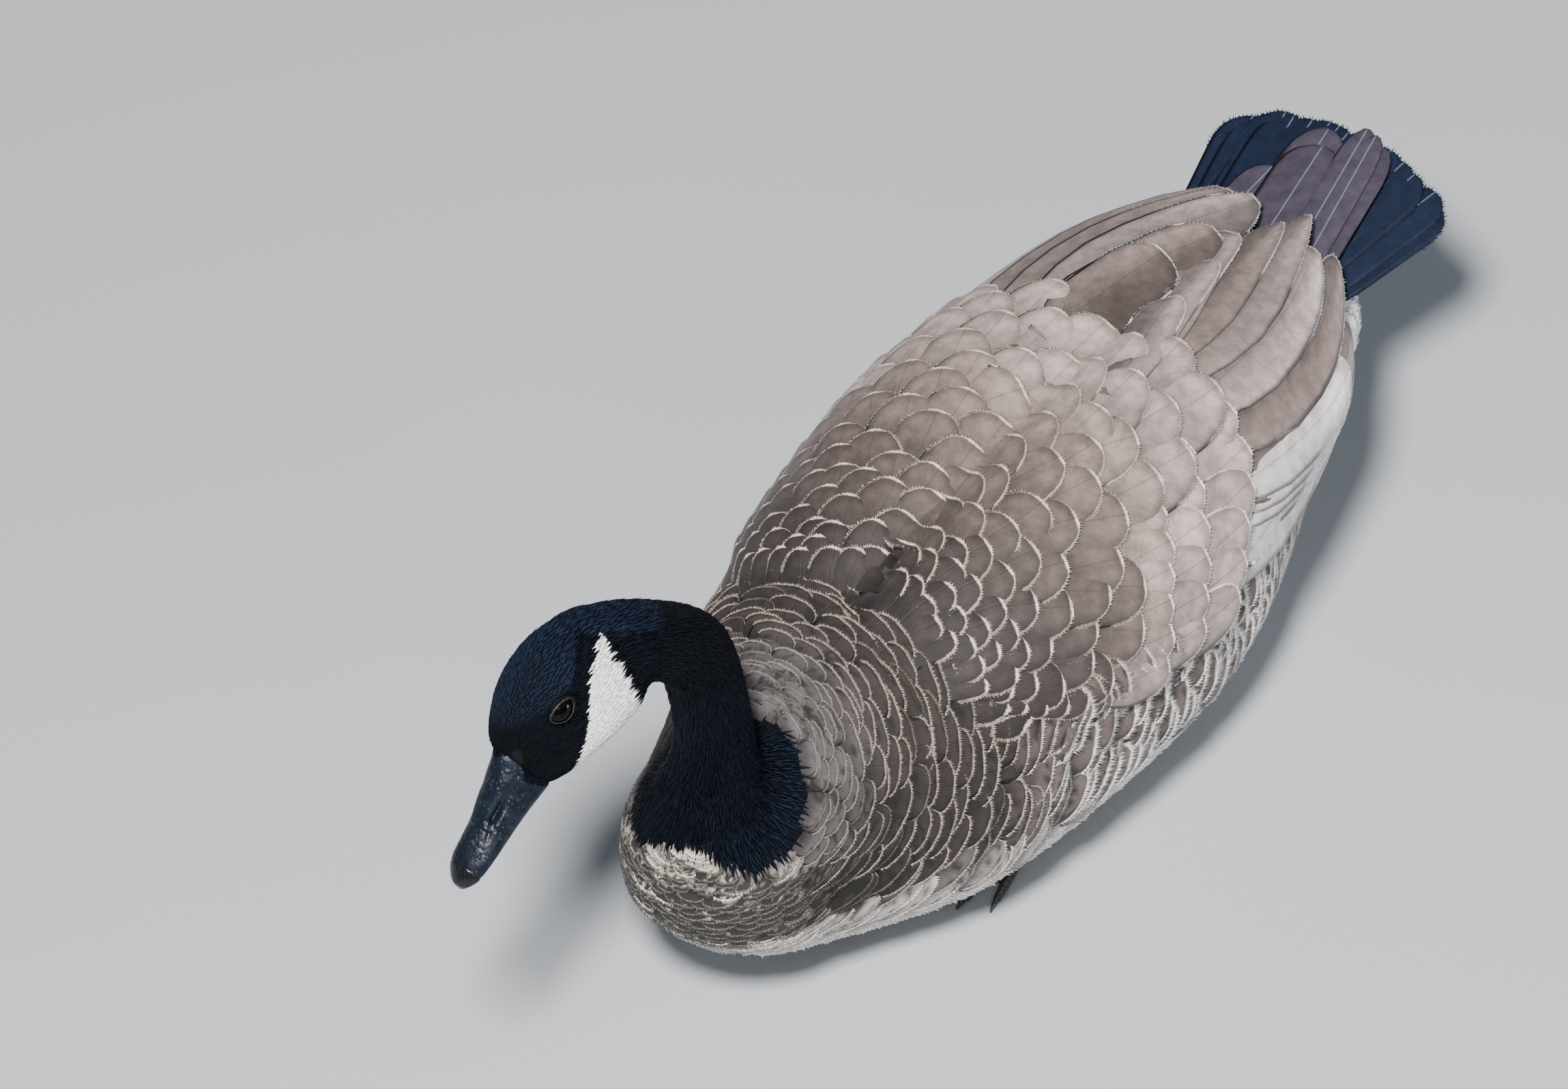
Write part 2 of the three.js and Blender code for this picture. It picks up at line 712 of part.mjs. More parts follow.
function nailSolid(grow) {
  const nail = new THREE.SphereGeometry(1, 12, 8);
  nail.scale(NAIL_SIZE[0] + grow, NAIL_SIZE[1] + grow, NAIL_SIZE[2] + grow);
  nail.rotateX(THREE.MathUtils.degToRad(22));
  nail.translate(...NAIL_AT);
  return solidFromGeometry(nail);
}

function nostril() {
  const slot = new THREE.SphereGeometry(1, 10, 5);
  slot.scale(...NOSTRIL_SIZE);
  slot.rotateX(THREE.MathUtils.degToRad(24));
  slot.translate(...NOSTRIL_AT);
  return solidFromGeometry(slot);
}

// A tapered round limb along a centre line.
function limb(stops, steps, sides, grow) {
  const line = new THREE.CatmullRomCurve3(stops.map(({ at }) => new THREE.Vector3(...at)));
  const sizes = smoothTable(stops.map(({ wide, deep }, k) => [k / (stops.length - 1), wide, deep]));
  const stations = Array.from({ length: steps + 1 }, (_, k) => {
    const [wide, deep] = sizes(k / steps);
    return {
      centre: line.getPoint(k / steps),
      tangent: line.getTangent(k / steps),
      side: X_AXIS,
      wide,
      deep,
    };
  });
  const rings = sweptRings(stations, sides, grow);
  const first = stations[0];
  const last = stations.at(-1);
  const start = first.centre.clone().addScaledVector(first.tangent, -first.deep * 0.5 - grow);
  const end = last.centre.clone().addScaledVector(last.tangent, last.deep * 0.5 + grow);
  return loft(rings, start, end);
}

// The shank lies along the floor from the heel forward to the toes.
function legSolid(grow) {
  return limb(
    [
      { at: [LEG_X - 6, HEEL_Y + 2, 15], wide: HEEL_RADIUS, deep: HEEL_RADIUS },
      { at: [LEG_X - 3, HEEL_Y - 12, 10.5], wide: HEEL_RADIUS, deep: HEEL_RADIUS },
      { at: [LEG_X, HEEL_Y - 34, 6.2], wide: SHANK_RADIUS, deep: SHANK_RADIUS },
      { at: [LEG_X, TOE_ROOT_Y + 24, 5], wide: SHANK_RADIUS, deep: SHANK_RADIUS },
      { at: [LEG_X, TOE_ROOT_Y + 6, 5], wide: SHANK_RADIUS, deep: SHANK_RADIUS },
    ],
    7,
    8,
    grow,
  );
}

// Each toe: the tip's sideways and forward reach from the toes' root.
const TOES = [
  { reach: [-13, -60], root: 4.2, tip: 2.2 },
  { reach: [3, -80], root: 4.6, tip: 2.4 },
  { reach: [17, -72], root: 4.2, tip: 2.2 },
];
const CLAW_LENGTH = 8;
const WEB_THICKNESS = 1.6;

function toeSolid({ reach, root, tip }, grow) {
  const at = (share) => [LEG_X + reach[0] * share, TOE_ROOT_Y + reach[1] * share, blend(root, tip, share) * 0.8];
  const size = (share, swell) => blend(root, tip, share) * swell;
  const stops = [0, 0.34, 0.5, 0.72, 0.86, 1].map((share, k) => {
    const swell = k % 2 === 0 ? 1.04 : 0.94;
    return { at: at(share), wide: size(share, swell), deep: size(share, swell) * 0.9 };
  });
  return limb(stops, 5, 6, grow);
}

function clawSolid({ reach, tip }) {
  const along = new THREE.Vector2(...reach).normalize();
  const place = (share) => [
    LEG_X + reach[0] + along.x * CLAW_LENGTH * share,
    TOE_ROOT_Y + reach[1] + along.y * CLAW_LENGTH * share,
    tip * 0.9 - 1.1 * share * share,
  ];
  return limb(
    [
      { at: place(-0.3), wide: tip * 0.8, deep: tip * 0.8 },
      { at: place(0.4), wide: tip * 0.62, deep: tip * 0.62 },
      { at: place(1), wide: 0.5, deep: 0.5 },
    ],
    2,
    5,
    0,
  );
}

// The web: a thin sheet from toe to toe whose front edge hangs back between the tips.
function webSolid(grow) {
  const across = 8;
  const along = 3;
  const edgeAt = (share) => {
    const scaled = share * (TOES.length - 1);
    const low = Math.min(TOES.length - 2, Math.floor(scaled));
    const part = scaled - low;
    const sag = 1 - 0.16 * Math.sin(Math.PI * part);
    return [0, 1].map((axis) => blend(TOES[low].reach[axis], TOES[low + 1].reach[axis], part) * sag * 0.94);
  };
  const grid = (z) =>
    Array.from({ length: along + 1 }, (_, r) =>
      Array.from({ length: across + 1 }, (_, c) => {
        const [x, y] = edgeAt(c / across);
        const share = blend(0.12, 1, r / along);
        return new THREE.Vector3(LEG_X + x * share, TOE_ROOT_Y + y * share, z);
      }),
    );
  return plate(grid(WEB_THICKNESS + grow), grid(-grow));
}

function footSolid(legClear) {
  const parts = [
    ...TOES.map((toe) => toeSolid(toe, 0)),
    ...TOES.map((toe) => clawSolid(toe)),
    webSolid(0),
  ];
  return largest(union(parts).subtract(legClear).trimByPlane([0, 0, 1], 0));
}

// What the belly's feathers leave free for a leg and its foot, open down to the floor.
// Each row: Y, least X, greatest X, top, with X from the leg's line.
const FOOT_ROOM = [
  [-84, -4, 16, 4.5],
  [-70, -17, 23, 5.6],
  [-54, -17.5, 21, 6.6],
  [-30, -13, 16, 8],
  [0, -7.5, 9, 9.6],
  [14, -6.5, 6.5, 11],
  [40, -6.5, 6.5, 11.6],
  [60, -6.8, 6.4, 12.6],
  [78, -10.5, 6.4, 18.2],
  [92, -13, 4.5, 23.2],
  [107, -14.5, 2.5, 25],
];
const ROOM_FLOOR = -8;

function footRoom() {
  const grid = (height) =>
    FOOT_ROOM.map(([y, least, most, top]) => [
      new THREE.Vector3(LEG_X + least, y, height ?? top),
      new THREE.Vector3(LEG_X + most, y, height ?? top),
    ]);
  return plate(grid(), grid(ROOM_FLOOR));
}

// Colours of the plumage and bare parts
const BLACK = { color: 0x14161c, roughness: 0.75 };
const BROWN = { color: 0x8a7a6c, roughness: 0.9 };
const TAIL_BLACK = { color: 0x1b2029, roughness: 0.6 };
const BILL_BLACK = { color: 0x1a1d24, roughness: 0.4 };
const EYE_BROWN = { color: 0x1d120c, roughness: 0.08 };
const LEG_BLACK = { color: 0x24221f, roughness: 0.65 };

function meshOf(name, solid, finish) {
  const { vertProperties, triVerts } = solid.getMesh();
  const geometry = new THREE.BufferGeometry();
  geometry.setAttribute("position", new THREE.BufferAttribute(vertProperties, 3));
  geometry.setIndex(new THREE.BufferAttribute(triVerts, 1));
  geometry.computeVertexNormals();
  const mesh = new THREE.Mesh(geometry, new THREE.MeshStandardMaterial({ metalness: 0, ...finish }));
  mesh.name = name;
  return mesh;
}

const goose = new THREE.Group();

const leg = largest(legSolid(0).trimByPlane([0, 0, 1], 0));
const foot = footSolid(legSolid(GROWTH));
const room = footRoom();
const tailClear = tailRoom();
const trunkClear = trunkSolid(GROWTH);
const trunk = trunkSolid(0)
  .subtract(union([room, mirrored(room)]))
  .subtract(tailClear)
  .trimByPlane([0, 0, 1], 0);
goose.add(meshOf("torso", largest(trunk), BROWN));

const neck = neckSolids(trunkClear);
goose.add(meshOf("neck_lower", neck.lower, BLACK));
goose.add(meshOf("neck_middle", neck.middle, BLACK));
goose.add(meshOf("neck_upper", neck.upper, BLACK));

const WING_SEEDS = { wing_left: 11, wing_right: 29 };
for (const [name, seed] of Object.entries(WING_SEEDS)) {
  const left = wingFeathers(seed).trimByPlane([1, 0, 0], GAP / 2);
  const placed = name === "wing_left" ? left : mirrored(left);
  goose.add(meshOf(name, largest(placed.subtract(trunkClear).subtract(tailClear)), BROWN));
}
goose.add(meshOf("tail", tailSolid(5), TAIL_BLACK));

goose.add(meshOf("leg_left", leg, LEG_BLACK));
goose.add(meshOf("leg_right", mirrored(leg), LEG_BLACK));
goose.add(meshOf("foot_left", foot, LEG_BLACK));
goose.add(meshOf("foot_right", mirrored(foot), LEG_BLACK));

const head = new THREE.Group();
head.position.copy(headFrame.position);
head.quaternion.copy(headFrame.quaternion);
goose.add(head);
head.add(meshOf("head", headSolid(), BLACK));
const eye = eyeball(0);
head.add(meshOf("eye_left", eye, EYE_BROWN));
head.add(meshOf("eye_right", mirrored(eye), EYE_BROWN));
const slot = nostril();
const upperBill = billHalf(true)
  .subtract(nailSolid(GAP))
  .subtract(union([slot, mirrored(slot)]));
head.add(meshOf("bill_upper", largest(upperBill), BILL_BLACK));
head.add(meshOf("bill_lower", largest(billHalf(false).subtract(nailSolid(GAP))), BILL_BLACK));
head.add(meshOf("bill_nail", nailSolid(0), BILL_BLACK));

// The origin is the middle of the footprint, on the floor.
goose.updateMatrixWorld(true);
const footprint = new THREE.Box3().setFromObject(goose, true).getCenter(new THREE.Vector3());
goose.position.set(-footprint.x, -footprint.y, 0);

export default goose;
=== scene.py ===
"""A life-size Canada goose at rest on its belly, with its head turned down to one side.

Sizes are millimetres in the bird's own frame, as its solids have them: it faces -Y, its left side
is +X and the floor is Z = 0. Meshes are in metres in the frame of the solids.
"""
import math

import bmesh
import bpy
import numpy as np
from mathutils import Matrix, Vector
from mathutils.bvhtree import BVHTree


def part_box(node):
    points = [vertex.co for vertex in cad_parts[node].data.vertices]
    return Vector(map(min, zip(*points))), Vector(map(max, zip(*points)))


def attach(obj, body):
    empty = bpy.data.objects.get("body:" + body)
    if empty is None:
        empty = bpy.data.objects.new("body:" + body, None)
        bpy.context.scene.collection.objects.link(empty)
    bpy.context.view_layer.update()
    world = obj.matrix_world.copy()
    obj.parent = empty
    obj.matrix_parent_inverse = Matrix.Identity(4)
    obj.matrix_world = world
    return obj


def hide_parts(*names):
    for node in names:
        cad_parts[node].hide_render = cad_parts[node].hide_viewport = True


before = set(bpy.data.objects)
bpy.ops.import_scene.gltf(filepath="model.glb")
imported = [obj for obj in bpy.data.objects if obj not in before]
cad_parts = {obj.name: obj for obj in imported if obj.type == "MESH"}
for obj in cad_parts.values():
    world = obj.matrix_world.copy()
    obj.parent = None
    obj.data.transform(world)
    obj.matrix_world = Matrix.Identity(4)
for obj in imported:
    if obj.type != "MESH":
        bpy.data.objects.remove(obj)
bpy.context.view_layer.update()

# The trunk's widest points are level with the middle of its own box, and its box is centred here
TRUNK_CENTRE_Y = 37.0
low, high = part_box("torso")
OFFSET = np.array([(low.x + high.x) / 2, (low.y + high.y) / 2 - TRUNK_CENTRE_Y / 1000, 0.0])

# Trunk, each row: Y, top, bottom, half width, height of the widest line, shift to the left
TRUNK = [
    [-228, 136, 60, 50, 104, -17],
    [-200, 145, 42, 54, 105, -14],
    [-170, 158, 24, 60, 104, -11],
    [-130, 181, 8, 77, 102, -6],
    [-90, 196, 0, 98, 99, -3],
    [-50, 202, -4, 105, 97, 0],
    [0, 207, -5.5, 113, 98, 0],
    [55, 209, -5, 118, 100, 0],
    [105, 207, 0, 113, 104, 0],
    [150, 200, 16, 100, 110, 0],
    [195, 187, 44, 84, 118, 0],
    [235, 170, 78, 72, 127, 1],
    [270, 158, 104, 62, 134, 2],
    [302, 150, 118, 46, 138, 3],
]
BREAST_ROUND, VENT_ROUND = 52, 44
BACK_FULLNESS, BELLY_FULLNESS = 2.5, 2.15

# Folded wing's sheet, each row: Y, top, half width, height of the widest line, lower edge
WING = [
    [-110, 198, 98, 99, 172],
    [-60, 209, 112, 99, 146],
    [0, 216, 120, 100, 130],
    [60, 219, 126, 102, 126],
    [115, 218, 122, 106, 132],
    [165, 213, 114, 113, 144],
    [210, 205, 102, 122, 157],
    [250, 195, 80, 130, 167],
    [285, 184, 56, 138, 169],
    [340, 174, 40, 144, 168],
]
WING_FULLNESS = 2.6
GROOVE_DEPTH, GROOVE_WIDTH = 9, 15

# Neck from the breast up, each row: X, Y, Z, half width, half depth; it ends inside the head
NECK = [
    [-14, -168, 108, 60, 56],
    [-13, -177, 132, 46, 45],
    [-11, -180, 150, 32, 33],
    [-9, -178, 172, 24.5, 25.5],
    [-7.5, -176, 194, 21.6, 22.4],
    [-7, -176, 216, 20.8, 21.5],
    [-8, -177, 240, 20.8, 21.5],
    [-9, -184, 264, 21, 22],
]

# Head in its own frame: the bill points to -Y. Each row: Y, crown, chin, half width, widest line
HEAD_AT = (-19, -267.7, 302.7)
HEAD_TURN = {"pitch": 21.3, "roll": -17.2, "yaw": -4}
HEAD_BACK = (30, -6)
HEAD = [
    [-41, 6, -26, 13.5, -11],
    [-32, 13.5, -29.5, 18.5, -12],
    [-22, 20.5, -33.5, 22.6, -11.5],
    [-11, 25.6, -37, 25, -10.5],
    [0, 28, -40, 26, -10],
    [11, 28, -42.5, 26.2, -10],
    [21, 25.2, -44, 25.6, -10.5],
    [30, 18.5, -44.5, 24.6, -12],
]
CROWN_FULLNESS, CHIN_FULLNESS = 2.15, 2.2
EYE_AT = (14.0, -4.6, 4.4)
EYE_RADIUS = 8.4
LID_OPENING = (6.8, 5.3)
LID_WIDTH, LID_TILT = 0.9, -10
SOCKET_GAP = 0.35

# Bill, each row: Y, culmen, cutting edge, lower edge of the lower half, half width
BILL = [
    [-98, -20.8, -26, -28.6, 9.6],
    [-90, -16.8, -25, -29, 11.4],
    [-77, -13, -23.8, -29, 12.2],
    [-66, -9.5, -22.6, -28.8, 11.9],
    [-56, -5, -21.4, -28.5, 11.9],
    [-46, 0.2, -20.8, -28, 12.4],
    [-38, 4.4, -20.8, -27.8, 13],
]

# Depth of the coat over the skin, and what keeps skin and coat off the floor
TRUNK_COAT, WING_COAT, NECK_COAT, HEAD_COAT = 4.2, 7.2, 2.2, 1.1
SKIN_OFF_FLOOR, COAT_OFF_FLOOR = 1.5, 0.25
SKIN_CELL = 3.0


def to_metres(points):
    return np.asarray(points, float) / 1000 + OFFSET


def signed_power(value, power):
    return np.sign(value) * np.abs(value) ** power


def blend(first, last, share):
    return first + (last - first) * share


def smooth_step(low_end, high_end, value):
    share = np.clip((value - low_end) / (high_end - low_end), 0, 1)
    return share * share * (3 - 2 * share)


def fade(low_end, high_end, value):
    return 1 - smooth_step(low_end, high_end, value)


def unit(vectors):
    return vectors / np.maximum(np.linalg.norm(vectors, axis=-1, keepdims=True), 1e-9)


def laid_flat(ways, normals):
    """Unit directions square to the normals, as near the given ones as they can be."""
    return unit(ways - normals * np.sum(ways * normals, -1, keepdims=True))


def tousled(ways, normals, chance, amount):
    """Unit directions turned a little at random about the normals."""
    return unit(ways + np.cross(normals, ways) * chance.normal(0, amount, (len(ways), 1)))


def mixed(first, last, share):
    """A colour between two, for each share."""
    share = np.asarray(share)[..., None]
    return first * (1 - share) + last * share


def circle(count):
    """Angles in even steps once round."""
    return np.linspace(0, 2 * np.pi, count, endpoint=False)


def smooth_table(rows):
    """A table whose first column is a place, as a smooth function of that place."""
    rows = np.array(rows, float)
    places, values = rows[:, 0], rows[:, 1:]
    slopes = np.diff(values, axis=0) / np.diff(places)[:, None]
    tangents = np.vstack([slopes[:1], (slopes[1:] + slopes[:-1]) / 2, slopes[-1:]])

    def at(place):
        place = np.clip(np.asarray(place, float), places[0], places[-1])
        k = np.clip(np.searchsorted(places, place) - 1, 0, len(places) - 2)
        span = (places[k + 1] - places[k])[..., None]
        t = ((place - places[k])[..., None]) / span
        start = (2 * t**3 - 3 * t**2 + 1) * values[k] + (t**3 - 2 * t**2 + t) * span * tangents[k]
        end = (3 * t**2 - 2 * t**3) * values[k + 1] + (t**3 - t**2) * span * tangents[k + 1]
        return np.moveaxis(start + end, -1, 0)

    return at


trunk_at = smooth_table(TRUNK)
wing_at = smooth_table(WING)
head_at = smooth_table(HEAD)
bill_at = smooth_table(BILL)


def turned(axis, degrees):
    return np.array(Matrix.Rotation(math.radians(degrees), 3, axis))


HEAD_AXES = turned("Z", HEAD_TURN["yaw"]) @ turned("X", HEAD_TURN["pitch"]) @ turned("Y", HEAD_TURN["roll"])


def from_head(points):
    return np.asarray(points, float) @ HEAD_AXES.T + np.array(HEAD_AT)


def to_head(points):
    return (np.asarray(points, float) - np.array(HEAD_AT)) @ HEAD_AXES


def sections(x, y, z):
    """Points of sections across Y, with a row of X and Z for each Y."""
    return np.stack([x, np.broadcast_to(y[:, None], x.shape), z], -1)


def oval(columns, top, bottom, half, mid, above, below):
    """X and Z of oval sections, from straight up and turning to +X, with a size for each section."""
    top, bottom, half, mid = (size[:, None] for size in (top, bottom, half, mid))
    angle = circle(columns)[None]
    across, up = np.sin(angle), np.cos(angle)
    power = np.where(up > 0, 2 / above, 2 / below)
    reach = np.where(up > 0, top - mid, mid - bottom)
    return half * signed_power(across, power), mid + reach * signed_power(up, power)


def end_round(y):
    front = np.clip((TRUNK[0][0] + BREAST_ROUND - y) / BREAST_ROUND, 0, 1)
    rear = np.clip((y - TRUNK[-1][0] + VENT_ROUND) / VENT_ROUND, 0, 1)
    return np.sqrt(np.clip(1 - np.maximum(front, rear) ** 2, 0, 1))


def wing_point(y, a, height):
    """A point of the wings' sheet: a is 0 on the back's midline, 1 at the left wing's lower edge."""
    top, half, mid, edge = wing_at(y)
    power = 2 / WING_FULLNESS
    lowest = np.arccos(((edge - mid) / (top - mid)) ** (1 / power))
    turn = lowest * np.abs(a) ** 1.2
    x = (half + height) * np.abs(np.sin(turn)) ** power
    z = mid + (top + height - mid) * signed_power(np.cos(turn), power)
    groove = GROOVE_DEPTH * np.exp(-((x / GROOVE_WIDTH) ** 2))
    return np.stack([x * np.sign(a), y + 0 * x, z - groove], -1)


def sheet_height(x, y):
    """Z of the wings' sheet over a place of the back."""
    top, half, mid, _ = wing_at(y)
    sine = np.clip(np.abs(x) / half, 0, 0.98) ** (WING_FULLNESS / 2)
    groove = GROOVE_DEPTH * np.exp(-((x / GROOVE_WIDTH) ** 2))
    return mid + (top - mid) * (1 - sine**2) ** (1 / WING_FULLNESS) - groove


# Meshes


def mesh_object(name, points, faces):
    """A mesh object from points in metres and a list or array of faces."""
    mesh = bpy.data.meshes.new(name)
    faces = faces if isinstance(faces, list) else faces.tolist()
    mesh.from_pydata(np.asarray(points, float).tolist(), [], faces)
    mesh.update()
    obj = bpy.data.objects.new(name, mesh)
    bpy.context.scene.collection.objects.link(obj)
    return obj


def grid_faces(rows, columns):
    """Quads over rows of points, closed round each row."""
    r, c = np.meshgrid(np.arange(rows - 1), np.arange(columns), indexing="ij")
    n = (c + 1) % columns
    a, b = r * columns + c, r * columns + n
    return np.stack([a, b, b + columns, a + columns], -1).reshape(-1, 4)


def tube_faces(rows, columns):
    """Quads round a tube whose first and last rows are closed by one point each, kept at the end."""
    faces = grid_faces(rows, columns).tolist()
    first, last, base = rows * columns, rows * columns + 1, (rows - 1) * columns
    for c in range(columns):
        n = (c + 1) % columns
        faces.append([first, n, c])
        faces.append([last, base + c, base + n])
    return faces


def tube(rings):
    """Points and faces of a closed tube from an array of rings."""
    rows, columns = rings.shape[:2]
    ends = np.array([rings[0].mean(0), rings[-1].mean(0)])
    return np.vstack([rings.reshape(-1, 3), ends]), tube_faces(rows, columns)


def outward(obj):
    """Turns all of a closed mesh's faces to face out."""
    shape = bmesh.new()
    shape.from_mesh(obj.data)
    bmesh.ops.recalc_face_normals(shape, faces=shape.faces)
    shape.to_mesh(obj.data)
    shape.free()


def evaluated(obj):
    """Replaces an object's mesh by what its modifiers make of it."""
    graph = bpy.context.evaluated_depsgraph_get()
    mesh = bpy.data.meshes.new_from_object(obj.evaluated_get(graph))
    obj.modifiers.clear()
    old = obj.data
    obj.data = mesh
    bpy.data.meshes.remove(old)


def keep_values(mesh, label, values):
    """Keeps a number or a colour for each point of a mesh, for its finish to read."""
    if values.ndim == 1:
        layer, key = mesh.attributes.new(label, "FLOAT", "POINT"), "value"
    else:
        layer, key = mesh.attributes.new(label, "FLOAT_COLOR", "POINT"), "color"
    layer.data.foreach_set(key, values.astype(np.float32).ravel())


def coordinates(mesh):
    points = np.empty(len(mesh.vertices) * 3, np.float32)
    mesh.vertices.foreach_get("co", points)
    return points.reshape(-1, 3).astype(float)


# Body surfaces, as rings of points in millimetres


def trunk_rings(inset, rows=110, columns=144):
    share = (1 - np.cos(np.pi * (np.arange(rows) + 0.5) / rows)) / 2
    y = blend(TRUNK[0][0] + inset, TRUNK[-1][0] - inset, share)
    top, bottom, half, mid, shift = trunk_at(y)
    size = end_round(y)
    upper, lower = mid + (top - mid) * size - inset, mid - (mid - bottom) * size + inset
    x, z = oval(columns, upper, lower, np.maximum(half * size - inset, 1), mid, BACK_FULLNESS, BELLY_FULLNESS)
    return sections(x + shift[:, None], y, z)


WING_FRONT, WING_BACK = -104, 262
WING_SLAB = 30


def wing_slab_rings(inset, rows=90, columns=70):
    """Rings along Y of the slab under both wings' sheets."""
    y = np.linspace(WING_FRONT, WING_BACK, rows)
    share = (y - WING_FRONT) / (WING_BACK - WING_FRONT)
    reach = blend(0.6, 0.96, smooth_step(-0.02, 0.2, share))
    sink = inset + 7 * fade(0, 0.16, share) + 1.5 * smooth_step(0.6, 0.9, share)
    depth = blend(WING_SLAB, 5, smooth_step(0.6, 1, share))
    a = np.linspace(-1, 1, columns)
    spread = y[:, None] + 0 * a[None]
    top = wing_point(spread, reach[:, None] * a[None], -sink[:, None] + 0 * a[None])
    under = wing_point(spread, reach[:, None] * a[None], -(sink + depth)[:, None] + 0 * a[None])
    return np.concatenate([top, under[:, ::-1]], 1)


def neck_line():
    """Centres and half sizes along the neck, from inside the breast to inside the head."""
    back_y, back_z = HEAD_BACK
    stops = list(NECK)
    for (y, z), wide, deep in (
        ((back_y + 17, back_z - 17), 22, 22.5),
        ((back_y, back_z - 6), 24.4, 31.5),
        ((back_y - 14, back_z), 24.5, 34),
    ):
        stops.append([*from_head([0, y, z]), wide, deep])
    return smooth_table([[k / (len(stops) - 1), *row] for k, row in enumerate(stops)])


neck_at = neck_line()


def neck_frames(share):
    """Centre, along, side and front directions of the neck, with its half sizes."""
    x, y, z, wide, deep = neck_at(share)
    centre = np.stack([x, y, z], -1)
    step = 1e-3
    ahead = np.stack(neck_at(np.minimum(share + step, 1))[:3], -1)
    behind = np.stack(neck_at(np.maximum(share - step, 0))[:3], -1)
    along = unit(ahead - behind)
    turn = smooth_step(0.3, 0.9, share)[..., None]
    side = laid_flat(np.array([1.0, 0, 0]) * (1 - turn) + HEAD_AXES[:, 0] * turn, along)
    return centre, along, side, np.cross(along, side), wide, deep


def neck_rings(inset, rows=90, columns=72):
    share = np.linspace(0, 1, rows)
    centre, _, side, front, wide, deep = neck_frames(share)
    angle = circle(columns)[None, :, None]
    across = side[:, None] * np.sin(angle) * (wide - inset)[:, None, None]
    return centre[:, None] + across + front[:, None] * np.cos(angle) * (deep - inset)[:, None, None]


def head_rings(inset, rows=60, columns=72):
    y = np.linspace(HEAD[0][0] + 4, HEAD[-1][0], rows)
    top, bottom, half, mid = head_at(y)
    x, z = oval(columns, top - inset, bottom + inset, half - inset, mid, CROWN_FULLNESS, CHIN_FULLNESS)
    return from_head(sections(x, y, z))


# Skin


def joined_tubes(name, all_rings):
    points, faces, base = [], [], 0
    for rings in all_rings:
        more, around = tube(rings)
        points.append(to_metres(more))
        faces += [[base + v for v in face] for face in around]
        base += len(more)
    return mesh_object(name, np.vstack(points), faces)


def smoothed(points, edges, rounds, weight=None):
    """Moves points half way to the middle of their neighbours, by a weight for each point."""
    count = np.bincount(edges.ravel(), minlength=len(points))[:, None]
    for _ in range(rounds):
        total = np.zeros_like(points)
        np.add.at(total, edges[:, 0], points[edges[:, 1]])
        np.add.at(total, edges[:, 1], points[edges[:, 0]])
        pull = (total / np.maximum(count, 1) - points) * 0.5
        points = points + (pull if weight is None else pull * weight[:, None])
    return points


def edge_list(mesh):
    edges = np.empty(len(mesh.edges) * 2, np.int32)
    mesh.edges.foreach_get("vertices", edges)
    return edges.reshape(-1, 2)


def eye_share(points, side):
    """How far points of the head, in its frame, lie from an eye's middle: 1 just outside its lids."""
    tilt = math.radians(LID_TILT)
    y, z = points[:, 1] - EYE_AT[1], points[:, 2] - EYE_AT[2]
    along = y * math.cos(tilt) + z * math.sin(tilt)
    up = -y * math.sin(tilt) + z * math.cos(tilt)
    share = np.hypot(along / (LID_OPENING[0] + LID_WIDTH), up / (LID_OPENING[1] + LID_WIDTH))
    return np.where(points[:, 0] * side > 4, share, 99)


def mound(y, z, at_y, at_z, long, high):
    """A soft round form on a side of the head: 1 at its middle, with its reach along Y and Z."""
    return np.exp(-(((y - at_y) / long) ** 2) - (((z - at_z) / high) ** 2))


def carve_head(points):
    """Eye sockets, brow, lores and the crease behind the eye, on points in the head's frame."""
    for side in (1, -1):
        share = eye_share(points, side)
        away = np.hypot(points[:, 1] - EYE_AT[1], points[:, 2] - EYE_AT[2])
        ball = EYE_AT[0] + np.sqrt(np.maximum(EYE_RADIUS**2 - away**2, 20)) + SOCKET_GAP
        rim = np.where(share < 0.92, EYE_AT[0] + 3, ball)
        depth = np.clip(points[:, 0] * side - rim, 0, 20) * fade(1.0, 1.75, share)
        points[:, 0] -= side * depth
    x, y, z = np.abs(points[:, 0]), points[:, 1], points[:, 2]
    outer = smooth_step(6, 14, x)
    lores = mound(y, z, -19, -1, 9, 6.5) * outer
    brow = mound(y, z, -1, 14.5, 11, 3.4) * outer
    line = z - 9 - 0.35 * (y - 8)
    behind = fade(24, 34, y)
    crease = np.exp(-((line / 2.6) ** 2)) * smooth_step(4, 10, y) * behind * outer
    ridge = np.exp(-(((line - 4.5) / 3) ** 2)) * smooth_step(2, 10, y) * behind * outer
    points[:, 0] -= np.sign(points[:, 0]) * (1.4 * lores - 0.9 * brow + 1.5 * crease - 0.8 * ridge)
    return points


def split_near(mesh, middle, reaches):
    """Splits the faces nearer a place than each reach, in turn, so that they are finest round it."""
    shape = bmesh.new()
    shape.from_mesh(mesh)
    for reach in reaches:
        near = []
        for face in shape.faces:
            away = np.array(face.calc_center_median()) - middle
            if away.dot(away) < (reach / 1000) ** 2:
                near.append(face)
        edges = list({edge for face in near for edge in face.edges})
        bmesh.ops.subdivide_edges(shape, edges=edges, cuts=1, use_grid_fill=True)
    bmesh.ops.triangulate(shape, faces=[face for face in shape.faces if len(face.verts) > 4])
    shape.to_mesh(mesh)
    shape.free()


HEAD_MIDDLE, HEAD_REACH, HEAD_FINEST = (0, -4, -8), 62, 48
SKIN_ROUNDS, HEAD_ROUNDS = 14, 8
# The back, where the skin stays under the wings' sheet
BACK_HALF, BACK_FRONT, BACK_REAR = 72, -92, 258


